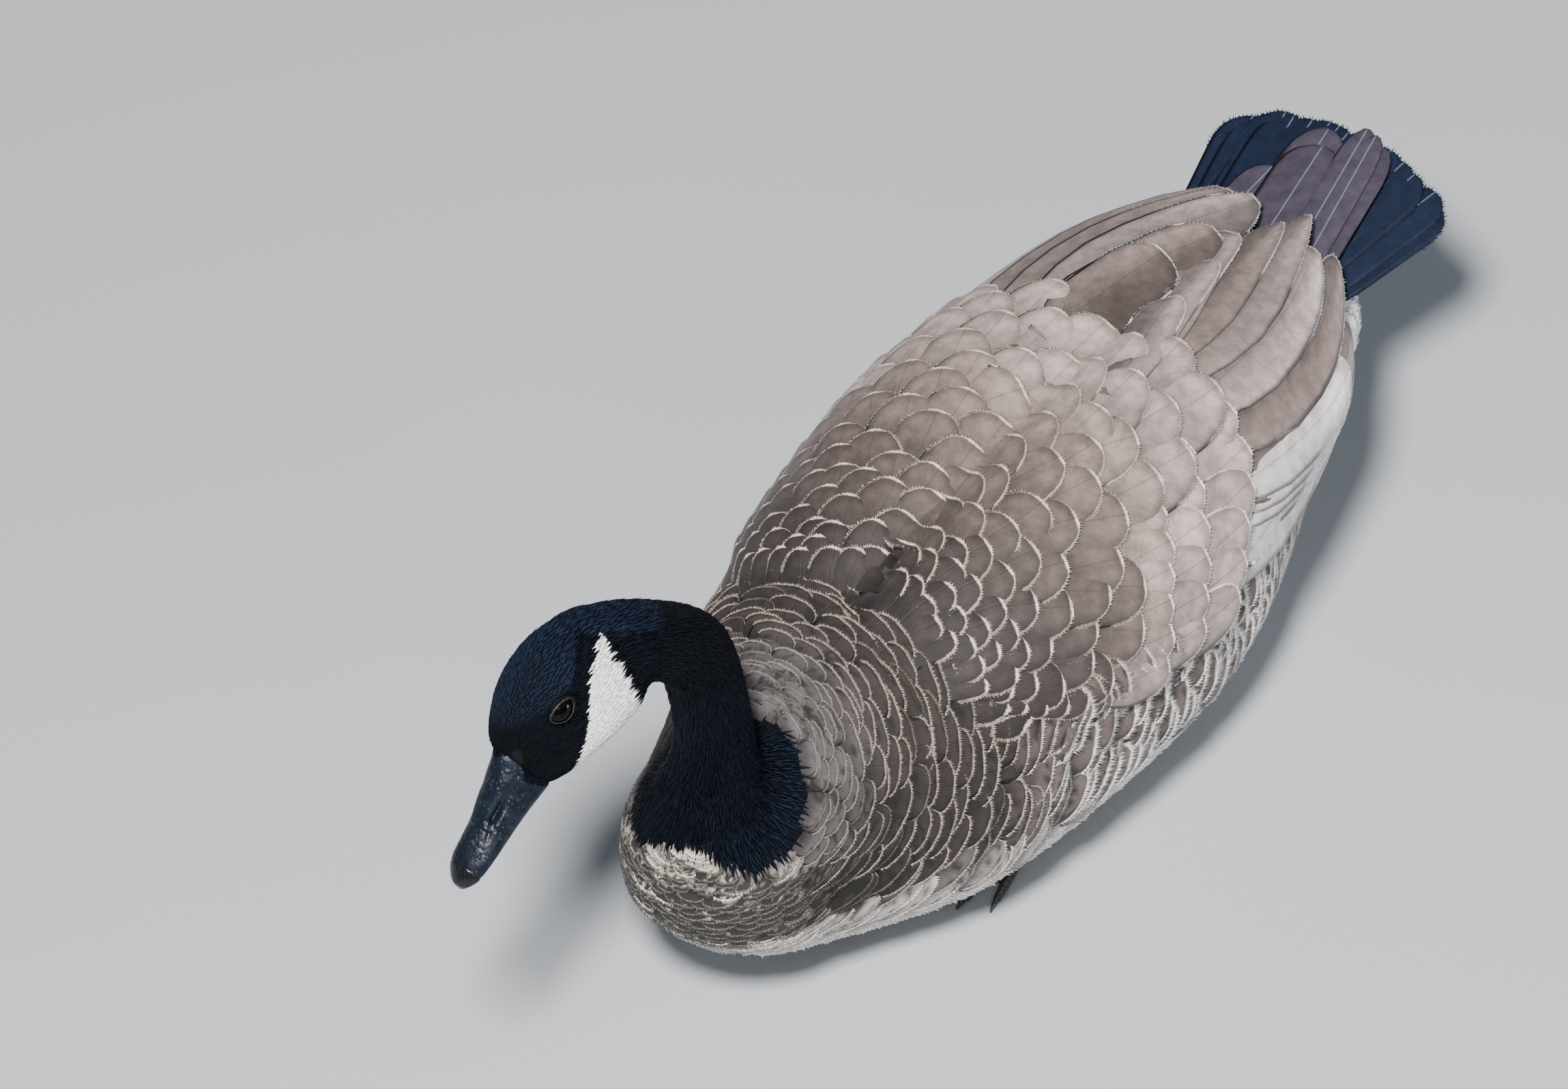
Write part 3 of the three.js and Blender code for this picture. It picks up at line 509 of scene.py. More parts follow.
def make_skin():
    """One closed skin over trunk, wings, neck and head, with the head's finer forms carved in."""
    skin = joined_tubes(
        "skin",
        [trunk_rings(TRUNK_COAT), wing_slab_rings(WING_COAT), neck_rings(NECK_COAT), head_rings(HEAD_COAT)],
    )
    outward(skin)
    remesh = skin.modifiers.new("even", "REMESH")
    remesh.mode = "VOXEL"
    remesh.voxel_size = SKIN_CELL / 1000
    evaluated(skin)
    head_middle = to_metres(from_head(HEAD_MIDDLE))
    points = smoothed(coordinates(skin.data), edge_list(skin.data), SKIN_ROUNDS)
    skin.data.vertices.foreach_set("co", points.astype(np.float32).ravel())
    split_near(skin.data, head_middle, (HEAD_REACH, HEAD_FINEST))
    points = coordinates(skin.data)
    near = np.clip(1.2 - np.linalg.norm(points - head_middle, axis=1) / (HEAD_REACH / 1000), 0, 0.2) * 5
    points = smoothed(points, edge_list(skin.data), HEAD_ROUNDS, near)
    working = (points - OFFSET) * 1000
    inside = to_head(working)
    front = inside[:, 1] < 34
    working[front] = from_head(carve_head(inside[front]))
    x, y, z = working.T
    lowest = sheet_height(x, y) - WING_COAT - 0.6
    lowest = lowest + 9 * fade(BACK_FRONT, -66, y) + 9 * smooth_step(40, BACK_HALF, np.abs(x))
    back = (np.abs(x) < BACK_HALF) & (y > BACK_FRONT) & (y < BACK_REAR)
    working[:, 2] = np.maximum(np.where(back, np.minimum(z, lowest), z), SKIN_OFF_FLOOR)
    skin.data.vertices.foreach_set("co", to_metres(working).astype(np.float32).ravel())
    skin.data.update()
    skin.data.shade_smooth()
    return skin


skin = make_skin()
print("skin", len(skin.data.vertices), "points", len(skin.data.polygons), "faces")


# Ground: the skin as a surface that the coat is laid on


class Ground:
    """The triangles of a skin, to scatter roots on and to bring points down to."""

    def __init__(self, obj):
        mesh = obj.data
        self.points = coordinates(mesh)
        mesh.calc_loop_triangles()
        corners = np.empty(len(mesh.loop_triangles) * 3, np.int32)
        mesh.loop_triangles.foreach_get("vertices", corners)
        self.triangles = corners.reshape(-1, 3)
        a, b, c = (self.points[self.triangles[:, k]] for k in range(3))
        cross = np.cross(b - a, c - a)
        self.area = np.linalg.norm(cross, axis=1) / 2
        normals = np.zeros_like(self.points)
        for k in range(3):
            np.add.at(normals, self.triangles[:, k], cross)
        normals /= np.maximum(np.linalg.norm(normals, axis=1, keepdims=True), 1e-12)
        face = normals[self.triangles].mean(1)
        self.normals = face / np.maximum(np.linalg.norm(face, axis=1, keepdims=True), 1e-9)
        self.tree = BVHTree.FromPolygons(self.points.tolist(), self.triangles.tolist())

    def scattered(self, count, chance, keep):
        """Random places on the triangles that keep() chooses, in millimetres, with their normals."""
        middles = (self.points[self.triangles].mean(1) - OFFSET) * 1000
        weight = self.area * keep(middles)
        chosen = chance.choice(len(weight), count, p=weight / weight.sum())
        share = chance.random((count, 2))
        flip = share.sum(1) > 1
        share[flip] = 1 - share[flip]
        a, b, c = (self.points[self.triangles[chosen, k]] for k in range(3))
        place = a + (b - a) * share[:, :1] + (c - a) * share[:, 1:]
        return (place - OFFSET) * 1000, self.normals[chosen]

    def nearest(self, points):
        """The skin's nearest places and normals, for points in millimetres of any array shape."""
        hits = [self.tree.find_nearest(place) for place in to_metres(points.reshape(-1, 3)).tolist()]
        place = np.array([tuple(hit[0]) for hit in hits])
        index = np.array([hit[2] for hit in hits])
        place = (place - OFFSET) * 1000
        return place.reshape(points.shape), self.normals[index].reshape(points.shape)


def spaced(points, spacing, cell):
    """Which of some points to keep, in their order, so that none is nearer another than its spacing."""
    cells, kept = {}, []
    keys = np.floor(points / cell).astype(int).tolist()
    places, gaps = points.tolist(), spacing.tolist()
    around = [(i, j, k) for i in (-1, 0, 1) for j in (-1, 0, 1) for k in (-1, 0, 1)]
    for index, ((x, y, z), gap, (i, j, k)) in enumerate(zip(places, gaps, keys)):
        limit = gap * gap
        near = False
        for di, dj, dk in around:
            for qx, qy, qz in cells.get((i + di, j + dj, k + dk), ()):
                if (qx - x) ** 2 + (qy - y) ** 2 + (qz - z) ** 2 < limit:
                    near = True
                    break
            if near:
                break
        if not near:
            cells.setdefault((i, j, k), []).append((x, y, z))
            kept.append(index)
    return np.array(kept)


# Plumage colours, as seen in even light, and the painted sheen of the crown and the ruff


def tint(red, green, blue):
    share = np.array([red, green, blue]) / 255
    return np.where(share <= 0.04045, share / 12.92, ((share + 0.055) / 1.055) ** 2.4)


BLACK_BLUE = tint(12, 19, 34)
BLACK_DEEP = tint(3, 4, 7)
# Painted sheen: the lit blue-grey of the crown and nape, and of the ruff at the neck's foot
CROWN_SHEEN_BLUE = tint(29, 38, 55)
RUFF_SHEEN_BLUE = tint(24, 33, 50)
WHITE_CHEEK = tint(250, 248, 245)
BREAST_SHADE = tint(188, 175, 159)
STAIN_OLIVE = tint(21, 20, 12)
NECK_GREY = tint(84, 78, 79)
NECK_FRINGE = tint(142, 135, 133)
BROWN_DARK = tint(45, 39, 37)
FLANK_BROWN = tint(104, 92, 87)
TAUPE = tint(150, 131, 124)
TAUPE_PALE = tint(198, 182, 177)
PALE_GREY = tint(228, 219, 217)
BUFF = tint(220, 197, 181)
FRINGE_WHITE = tint(240, 232, 227)
BELLY_BUFF = tint(202, 192, 184)
BELLY_WHITE = tint(240, 237, 234)
TAIL_BLACK = tint(20, 29, 48)
PRIMARY_BROWN = tint(64, 58, 70)

SOCK_AT = (-11, -179)
SOCK_REACH, SOCK_OVAL, SOCK_TURN = 41, 6, 20
SOCK_FOOT = 121
BELLY_LINE = 88
STAIN_ON_RIM = 0.9
# Above this height all is head, bill or the neck's top
HEAD_FOOT = 225


def sock_share(points):
    """Distance from the neck's base as a share of the black sock's reach there: under 1 is black."""
    x, y = points[..., 0] - SOCK_AT[0], points[..., 1] - SOCK_AT[1]
    angle = np.arctan2(y, x)
    reach = SOCK_REACH + SOCK_OVAL * np.cos(2 * (angle - math.radians(SOCK_TURN)))
    share = np.hypot(x, y) / reach + np.clip(SOCK_FOOT - points[..., 2], 0, 200) / 16
    return np.where(points[..., 2] > 212, 0, share)


def cheek(points):
    """How far inside the white cheek patch points lie, in millimetres: negative outside."""
    inside = to_head(points)
    y, z = inside[..., 1], inside[..., 2]
    front = np.where(y > 14, 4.5 + 0.25 * (y - 14), 4.5 + 0.89 * (y - 14)) - z
    rear = 35 - 0.28 * (5 - z) - y
    on_head = np.where(points[..., 2] > HEAD_FOOT, 99.0, -99.0)
    return np.minimum(np.minimum(front * 0.75, rear), on_head)


# Where the feathers end on the side of the bill's base, each row: Z, Y
FEATHER_EDGE = smooth_table([
    [-40, -30], [-28, -33], [-20.8, -36.6], [-16.5, -39.1], [-12.3, -41], [-6, -37.7], [0, -34], [5, -31.3], [30, -31],
])


def feathered(inside):
    """How far behind the bill's skin points in the head's frame lie: negative on bare skin."""
    tongue = -41.3 + 0.8 * np.abs(inside[..., 0])
    side = FEATHER_EDGE(inside[..., 2])[0]
    return inside[..., 1] - np.minimum(tongue, side)


LIE_FROM = np.array([-11.0, -179.0, 165.0])


def neck_reach(points):
    return np.linalg.norm(points - LIE_FROM, axis=-1)


def patches(points, size, seed):
    """Soft random blotches between 0 and 1, about a size in millimetres."""
    chance = np.random.default_rng(seed)
    total = 0
    for k in range(7):
        way = unit(chance.normal(size=3)) / size * (1 + 0.35 * k)
        total = total + np.sin(points @ way * 2 * np.pi + chance.uniform(0, 6.28)) / (1 + 0.25 * k)
    return 0.5 + total / 5


def flank_share(points):
    """1 on the flanks, which are paler and have wide rims."""
    return smooth_step(-95, -40, points[..., 1]) * fade(128, 160, points[..., 2])


def body_colour(points):
    """The coat's main colour on the trunk, and the colour of its feathers' rims."""
    y, z = points[..., 1], points[..., 2]
    far = neck_reach(points)
    coat = mixed(NECK_GREY, BROWN_DARK, smooth_step(50, 92, far))
    coat = mixed(coat, TAUPE * 0.75, smooth_step(140, 210, far) * 0.6)
    flank = flank_share(points)
    coat = mixed(coat, FLANK_BROWN, flank)
    front = fade(-205, -165, y) * fade(145, 175, z)
    coat = mixed(coat, BREAST_SHADE, front)
    rim = mixed(NECK_FRINGE, BUFF * 0.62, smooth_step(50, 95, far))
    rim = mixed(rim, FRINGE_WHITE, np.maximum(flank, front))
    low = fade(BELLY_LINE - 30, BELLY_LINE + 2, z)
    under = mixed(BELLY_BUFF, BELLY_WHITE * 0.9, smooth_step(40, 180, y))
    pale = np.maximum(low, smooth_step(150, 235, y))
    return mixed(coat, under, pale), mixed(rim, BELLY_WHITE, pale)


def stain_share(points):
    """How much the breast is stained: in specks, and most in a band over the belly."""
    y, z = points[..., 1], points[..., 2]
    top = BELLY_LINE + 50 + 10 * fade(-215, -185, y)
    band = smooth_step(BELLY_LINE - 14, BELLY_LINE - 4, z) * fade(BELLY_LINE + 12, top, z)
    band = band * (1 - 0.85 * smooth_step(-190, -110, y)) * fade(-60, 0, y)
    speckle = 0.35 * patches(points, 24, 3) + 0.35 * patches(points, 8, 5) + 0.45 * patches(points, 3.2, 7) - 0.06
    return np.clip((0.8 + 0.5 * band) * smooth_step(0.63 - 0.41 * band, 0.71 - 0.41 * band, speckle), 0, 0.96)


def body_lie(points, normals):
    """The way that the coat's feathers point on the trunk: away from the neck, then back."""
    away = unit(points - LIE_FROM)
    share = smooth_step(170, 320, neck_reach(points))[..., None]
    return laid_flat(away * (1 - share) + np.array([0, 1.0, -0.04]) * share, normals)


NECK_SAMPLES = np.linspace(0.1, 1, 120)
NECK_CENTRES, NECK_ALONG = neck_frames(NECK_SAMPLES)[:2]


def nearest_sample(points):
    """Which sample of the neck's line is nearest each point."""
    return np.argmin(np.linalg.norm(points[:, None] - NECK_CENTRES[None], axis=-1), 1)


def neck_lie(points, normals):
    """The way that the feathers of the head and neck point: from the bill back and down the neck."""
    down = -NECK_ALONG[nearest_sample(points)]
    inside = to_head(points)
    back = np.broadcast_to(np.array([0, 1.0, -0.12]), points.shape) @ HEAD_AXES.T
    share = smooth_step(18, 40, inside[:, 1])[:, None]
    above = smooth_step(225, 250, points[:, 2])[:, None]
    lie = back * (1 - share) * above + down * (1 - (1 - share) * above)
    low_part = fade(150, 185, points[:, 2])[:, None]
    lie = lie * (1 - low_part) + body_lie(points, normals) * low_part
    return laid_flat(lie, normals)


# Feathers: closed thin shapes, collected into one mesh for each piece


class Coat:
    """Feathers of one piece: points in millimetres, faces and what their finish reads."""

    def __init__(self):
        self.points, self.faces, self.colours, self.rims = [], [], [], []
        self.edges, self.vane, self.bake = [], [], []
        self.count = 0

    def add(self, points, faces, colour, edge, rim, vane, bake):
        """Arrays of any shape with an entry for each point; faces is a list of arrays of corners."""
        self.points.append(points.reshape(-1, 3))
        self.faces += [corners + self.count for corners in faces]
        for store, values in ((self.colours, colour), (self.edges, edge)):
            values = values.reshape(-1, 3)
            store.append(np.concatenate([values, np.ones((len(values), 1))], 1))
        self.rims.append(rim.ravel())
        self.vane.append(vane.reshape(-1, 2))
        self.bake.append(bake.reshape(-1, 2))
        self.count += len(self.points[-1])

    def made(self, name, material, slot, replaced=()):
        """Makes the piece's one mesh, with its maps, its finish and what it stands for."""
        points = np.concatenate(self.points)
        points[:, 2] = np.maximum(points[:, 2], COAT_OFF_FLOOR)
        corners = np.concatenate([face.ravel() for face in self.faces])
        sizes = np.concatenate([np.full(len(face), face.shape[1]) for face in self.faces])
        starts = np.concatenate([[0], np.cumsum(sizes)[:-1]])
        mesh = bpy.data.meshes.new(name)
        mesh.vertices.add(len(points))
        mesh.loops.add(len(corners))
        mesh.polygons.add(len(sizes))
        mesh.vertices.foreach_set("co", to_metres(points).astype(np.float32).ravel())
        mesh.loops.foreach_set("vertex_index", corners.astype(np.int32))
        mesh.polygons.foreach_set("loop_start", starts.astype(np.int32))
        mesh.update(calc_edges=True)
        for label, values in (("plumage", self.colours), ("edging", self.edges), ("rim", self.rims)):
            keep_values(mesh, label, np.concatenate(values))
        for label, values in (("vane", self.vane), ("OFBake", self.bake)):
            layer = mesh.uv_layers.new(name=label)
            layer.data.foreach_set("uv", np.concatenate(values)[corners].astype(np.float32).ravel())
        mesh.materials.append(material)
        mesh.shade_smooth()
        obj = bpy.data.objects.new(name, mesh)
        bpy.context.scene.collection.objects.link(obj)
        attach(obj, "root")
        if replaced:
            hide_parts(*replaced)
        print(name, int(np.sum(sizes - 2)), "triangles")


def faces_of_all(count, size, parts):
    """Faces of many shapes with as many points each, from arrays of the first one's faces."""
    base = (np.arange(count) * size)[:, None, None]
    return [(base + part[None]).reshape(-1, part.shape[1]) for part in parts]


def vane_faces(count, rows, columns, under):
    """Faces of many closed vanes: a fine upper grid, a coarse lower one, and both ends."""
    grid = np.arange(rows * columns).reshape(rows, columns)
    middle = rows * columns + np.arange(rows * under).reshape(rows, under)
    lower = np.concatenate([grid[:, :1], middle, grid[:, -1:]], 1)

    def quads(index):
        a, b, c, d = index[:-1, :-1], index[1:, :-1], index[1:, 1:], index[:-1, 1:]
        return np.stack([a, b, c, d], -1).reshape(-1, 4)

    root = np.concatenate([grid[0], middle[0, ::-1]])[None]
    tip = np.concatenate([grid[-1, ::-1], middle[-1]])[None]
    return faces_of_all(count, rows * (columns + under), (quads(grid), quads(lower)[:, ::-1], root, tip))


VANE_ROOT, VANE_BLUNT, VANE_THICK = 0.5, 2.3, 0.3
BAKE_PATCH = 0.003


def profile(share, square):
    """Half width of a vane as a share of its greatest, narrow at the root and round at the tip."""
    rounding = np.clip((share - square) / (1 - square), 0, 1)
    end = np.clip(1 - rounding**VANE_BLUNT, 0, 1) ** (1 / VANE_BLUNT)
    return blend(VANE_ROOT, 1, smooth_step(0, 0.4, share)) * end


def add_vanes(coat, surface, shares, columns, length, width, square, height, colour, edging, rim_width,
              chance, bake_at, bake_size, tip_share, shaded_root_share=1.0):
    """Lays vanes on a surface and adds them to a coat; the last argument paints shade on them towards the root, where
    the feathers over them would shade them.

    surface(along, across) gives points and normals for arrays (feather, row, column) in millimetres,
    height(share, side) the height over it, colour and edging one colour for each feather or point.
    """
    count, rows, sides = len(length), len(shares), len(columns)
    half = width[:, None] / 2 * np.maximum(profile(shares, square)[None], tip_share * (shares > 0.9)[None])
    along = np.broadcast_to((length[:, None] * shares)[:, :, None], (count, rows, sides))
    across = half[:, :, None] * columns[None, None]
    place, normal = surface(along, across)
    share = np.broadcast_to(shares[None, :, None], across.shape)
    side = np.broadcast_to(columns[None, None], across.shape)
    points = place + normal * height(share, side)[..., None]
    to_side = (1 - np.abs(side)) * half[:, :, None] + 9 * fade(0.4, 0.66, share)
    to_tip = (1 - share) * length[:, None, None]
    rim = np.minimum(to_side, to_tip) / rim_width
    offset = chance.random(count)[:, None, None] * 40
    vane = np.stack([across / 10, along / 10 + offset], -1)
    patch = np.stack([(side + 1) / 2, share], -1) * bake_size
    bake = bake_at[:, None, None] + patch
    colour = np.broadcast_to(colour if colour.ndim == 4 else colour[:, None, None], points.shape)
    # Painted shade: darker towards the root, where the feathers laid over a vane would shade it
    colour = colour * blend(shaded_root_share, 1, smooth_step(0.5, 0.93, share))[..., None]
    edging = np.broadcast_to(edging if edging.ndim == 4 else edging[:, None, None], points.shape)
    low = list(range(1, sides - 1, 2)) if sides > 10 else [sides // 2]

    def both(values):
        sheet = values.reshape(count, rows * sides, -1)
        under = values[:, :, low].reshape(count, rows * len(low), -1)
        return np.concatenate([sheet, under], 1).reshape(count * rows * (sides + len(low)), -1)

    place = both(points).reshape(count, -1, 3)
    place[:, rows * sides:] -= VANE_THICK * normal[:, :, low].reshape(count, -1, 3)
    faces = vane_faces(count, rows, sides, len(low))
    coat.add(place, faces, both(colour), both(edging), both(rim), both(vane), both(bake))
    return points, normal, vane, bake


def add_barbs(coat, points, normal, vane, bake, each, reach, base, edging, chance, first_row,
              raise_share=0.25):
    """Loose barbs round the tips of vanes, each a thin closed spike on the rim."""
    count, rows, sides = points.shape[:3]
    left = [(r, 0) for r in range(first_row, rows)]
    tip = [(rows - 1, c) for c in range(1, sides - 1)]
    right = [(r, sides - 1) for r in range(rows - 1, first_row - 1, -1)]
    r, c = np.array(left + tip + right).T
    outline = points[:, r, c]
    step = np.linalg.norm(np.diff(outline, axis=1), axis=-1)
    run = np.concatenate([np.zeros((count, 1)), np.cumsum(step, 1)], 1)
    wanted = (np.arange(each) + 0.5 + chance.uniform(-0.35, 0.35, (count, each))) / each * run[:, -1:]
    k = np.clip((run[:, None] < wanted[:, :, None]).sum(-1) - 1, 0, len(r) - 2)
    row = np.arange(count)[:, None]
    share = ((wanted - run[row, k]) / np.maximum(step[row, k], 1e-6))[..., None]

    def between(values):
        picked = values[:, r, c]
        return picked[row, k] * (1 - share) + picked[row, k + 1] * share

    root, up = between(points), unit(between(normal))
    edge = unit(outline[row, k + 1] - outline[row, k])
    middle = points[:, rows // 2, sides // 2][:, None]
    out = np.cross(edge, up)
    out *= np.sign(np.sum(out * (root - middle), -1, keepdims=True))
    along = unit(points[:, -1, sides // 2] - points[:, 0, sides // 2])[:, None]
    out = unit(unit(out) + 0.6 * along + chance.normal(0, 0.22, out.shape))
    size = (reach[:, None] * chance.uniform(0.55, 1.25, (count, each)))[..., None]
    wide = base[:, None, None] / 2
    spike = np.stack(
        [
            root - edge * wide - out * wide,
            root + edge * wide - out * wide,
            root - up * wide * 0.8 - out * wide,
            root + out * size + up * size * raise_share,
        ],
        2,
    )
    number = (np.arange(count * each) * 4)[:, None]
    sides_of = np.array([[0, 3, 1], [1, 3, 2], [2, 3, 0], [0, 1, 2]])
    face = np.cross(spike[:, :, 3] - spike[:, :, 0], spike[:, :, 1] - spike[:, :, 0])
    turned_out = np.sum(face * up, -1).ravel() < 0
    corners = number[:, :, None] + sides_of[None]
    corners[turned_out] = corners[turned_out][:, :, ::-1]
    spread = np.array([[0, 0], [0.06, 0], [0.03, 0.02], [0.03, 0.08]]) * 0.5
    scale = np.ptp(bake.reshape(count, -1, 2), axis=1)[:, None, None]
    spike_bake = between(bake)[:, :, None] - spread[None, None] * scale
    spike_vane = np.repeat(between(vane)[:, :, None], 4, 2) + spread[None, None]
    colour = np.broadcast_to(edging[:, None, None], spike.shape)
    rim = np.zeros(spike.shape[:3])
    coat.add(spike, [corners.reshape(-1, 3)], colour, colour, rim, spike_vane, spike_bake)


def around_trunk(points):
    """A place on the trunk's unwrap: the angle round it and the way back along it."""
    mid, shift = trunk_at(points[..., 1])[3:]
    angle = np.arctan2(points[..., 0] - shift, points[..., 2] - mid)
    return np.stack([angle / (2 * np.pi) + 0.5, (points[..., 1] + 250) / 570], -1)


def around_neck(points):
    """A place on the unwrap of the neck and head: the angle round them and the way up and forward."""
    nearest = nearest_sample(points)
    centre, _, side, front = neck_frames(NECK_SAMPLES)[:4]
    away = points - centre[nearest]
    angle = np.arctan2(np.sum(away * side[nearest], -1), np.sum(away * front[nearest], -1))
    inside = to_head(points)
    head_angle = np.arctan2(inside[:, 0], inside[:, 2] + 10)
    is_head = inside[:, 1] < 22
    up = np.where(is_head, 0.62 + (22 - inside[:, 1]) / 70 * 0.36, NECK_SAMPLES[nearest] * 0.6)
    angle = np.where(is_head & (points[:, 2] > HEAD_FOOT), head_angle, angle)
    return np.stack([angle / (2 * np.pi) + 0.5, up], -1)


def bake_roots(places):
    """Keeps patches clear of the map's border."""
    return 0.002 + np.clip(places, 0, 1) * (1 - BAKE_PATCH - 0.004)


# Finishes


class Nodes:
    """A new material, with its nodes added in one line each."""

    def __init__(self, name):
        self.material = bpy.data.materials.new(name)
        self.material.use_nodes = True
        self.tree = self.material.node_tree
        self.tree.nodes.clear()

    def fill(self, socket, value):
        if isinstance(value, bpy.types.NodeSocket):
            self.tree.links.new(value, socket)
        elif socket.type == "RGBA" and len(value) == 3:
            socket.default_value = (*value, 1)
        else:
            socket.default_value = value

    def add(self, kind, inputs=None, **settings):
        node = self.tree.nodes.new(kind)
        for key, value in settings.items():
            setattr(node, key, value)
        for key, value in (inputs or {}).items():
            self.fill(node.inputs[key], value)
        return node

    def math(self, operation, *values, clamp=False):
        node = self.add("ShaderNodeMath", operation=operation, use_clamp=clamp)
        for socket, value in zip(node.inputs, values):
            self.fill(socket, value)
        return node.outputs[0]

    def ramp(self, value, low_end, high_end, first=0.0, last=1.0):
        inputs = {"Value": value, "From Min": low_end, "From Max": high_end, "To Min": first, "To Max": last}
        return self.add("ShaderNodeMapRange", inputs, interpolation_type="SMOOTHSTEP").outputs["Result"]

    def mix(self, share, first, last, blend_type="MIX"):
        node = self.add("ShaderNodeMix", data_type="RGBA", blend_type=blend_type)
        for index, value in ((0, share), (6, first), (7, last)):
            self.fill(node.inputs[index], value)
        return node.outputs[2]

    def times(self, first, second):
        return self.math("MULTIPLY", first, second)

    def plus(self, first, second):
        return self.math("ADD", first, second)

    def kept(self, label, kind="Fac"):
        """What the mesh keeps for its points under a label."""
        return self.add("ShaderNodeAttribute", attribute_name=label).outputs[kind]

    def place(self, scale=None):
        """Places in metres, or stretched by a scale for each axis."""
        place = self.add("ShaderNodeTexCoord").outputs["Object"]
        if scale is None:
            return place
        return self.add("ShaderNodeMapping", {"Vector": place, "Scale": scale}).outputs[0]

    def grey(self, value):
        return self.add("ShaderNodeCombineColor", {0: value, 1: value, 2: value}).outputs[0]

    def shade(self, colour, value):
        """A colour made darker or lighter by a value."""
        return self.mix(1.0, colour, self.grey(value), "MULTIPLY")

    def noise(self, vector, scale, detail, roughness=0.55):
        inputs = {"Vector": vector, "Scale": scale, "Detail": detail, "Roughness": roughness}
        return self.add("ShaderNodeTexNoise", inputs).outputs["Fac"]

    def bump(self, height, strength, distance):
        inputs = {"Height": height, "Strength": strength, "Distance": distance}
        return self.add("ShaderNodeBump", inputs).outputs["Normal"]

    def end(self, colour, normal, roughness, **values):
        inputs = {"Base Color": colour, "Roughness": roughness}
        if normal is not None:
            inputs["Normal"] = normal
        inputs.update({key.replace("_", " "): value for key, value in values.items()})
        shader = self.add("ShaderNodeBsdfPrincipled", inputs)
        self.add("ShaderNodeOutputMaterial", {"Surface": shader.outputs[0]})
        return self.material


DARK_SHAFT, PALE_SHAFT = (0.03, 0.024, 0.022), (0.25, 0.31, 0.42)


def plumage_finish(name, roughness, sheen, barb_depth, shaft, wear, streaks, band, shaft_colour=DARK_SHAFT,
                   gloss=0.3):
    """Feather vanes: rims of their own colour, fine barbs, a shaft and small worn splits."""
    n = Nodes(name)
    base, edging, rim = n.kept("plumage", "Color"), n.kept("edging", "Color"), n.kept("rim")
    place = n.add("ShaderNodeUVMap", uv_map="vane").outputs["UV"]
    parts = n.add("ShaderNodeSeparateXYZ", {"Vector": place})
    across = n.math("ABSOLUTE", parts.outputs["X"])
    barb = n.math("SUBTRACT", parts.outputs["Y"], n.times(across, 0.8))
    lines = n.add("ShaderNodeCombineXYZ", {"X": barb, "Y": n.times(parts.outputs["X"], 0.06)})
    fine = n.noise(lines.outputs[0], 24.0, 2.0, 0.7)
    coarse = n.noise(lines.outputs[0], 4.5, 3.0, 0.6)
    cloud = n.noise(place, 1.1, 3.0, 0.6)
    ragged = n.plus(rim, n.times(n.math("SUBTRACT", fine, 0.5), 1.6))
    ragged = n.plus(ragged, n.times(n.math("SUBTRACT", coarse, 0.5), 0.9))
    inner = n.ramp(ragged, 0.5, 1.2)
    base = n.shade(base, n.ramp(rim, 1.0, 6.0, 1 - band, 1.0))
    colour = n.mix(inner, edging, base)
    worn = n.ramp(cloud, 0.3, 0.7, 1 - wear, 1 + wear * 0.6)
    colour = n.shade(colour, n.plus(worn, n.ramp(coarse, 0.3, 0.7, -0.05, 0.05)))
    colour = n.shade(colour, n.ramp(fine, 0.3, 0.7, 1 - streaks, 1 + streaks * 0.7))
    split = n.times(n.ramp(coarse, 0.70, 0.75), n.ramp(cloud, 0.5, 0.6))
    colour = n.shade(colour, n.math("SUBTRACT", 1.0, n.times(split, min(wear * 3.0, 0.9))))
    line = n.times(n.ramp(across, 0.02, 0.055, 1.0, 0.0), shaft)
    colour = n.mix(line, colour, shaft_colour)
    height = n.plus(n.times(fine, 0.6), n.times(coarse, 0.7))
    height = n.plus(height, n.ramp(across, 0.02, 0.08, 0.8, 0.0))
    normal = n.bump(height, barb_depth, 0.0005)
    return n.end(colour, normal, roughness, Sheen_Weight=sheen, Sheen_Roughness=0.5,
                 Specular_IOR_Level=gloss)


def skin_finish():
    """Down under the feathers: dull and in their colours, and bare skin by the bill and the lids."""
    n = Nodes("down_skin")
    base, bare = n.kept("plumage", "Color"), n.kept("bare")
    fluff = n.noise(n.place((700, 180, 700)), 1.0, 5.0, 0.6)
    colour = n.shade(base, n.ramp(fluff, 0.25, 0.75, 0.45, 0.95))
    wrinkle = n.noise(n.place(), 420.0, 4.0)
    colour = n.mix(bare, colour, n.mix(wrinkle, (0.002, 0.0025, 0.004), (0.005, 0.0065, 0.01)))
    height = n.mix(bare, n.grey(fluff), n.grey(wrinkle))
    rough = n.ramp(bare, 0.0, 1.0, 0.9, 0.55)
    return n.end(colour, n.bump(height, 0.7, 0.001), rough, Specular_IOR_Level=0.15)


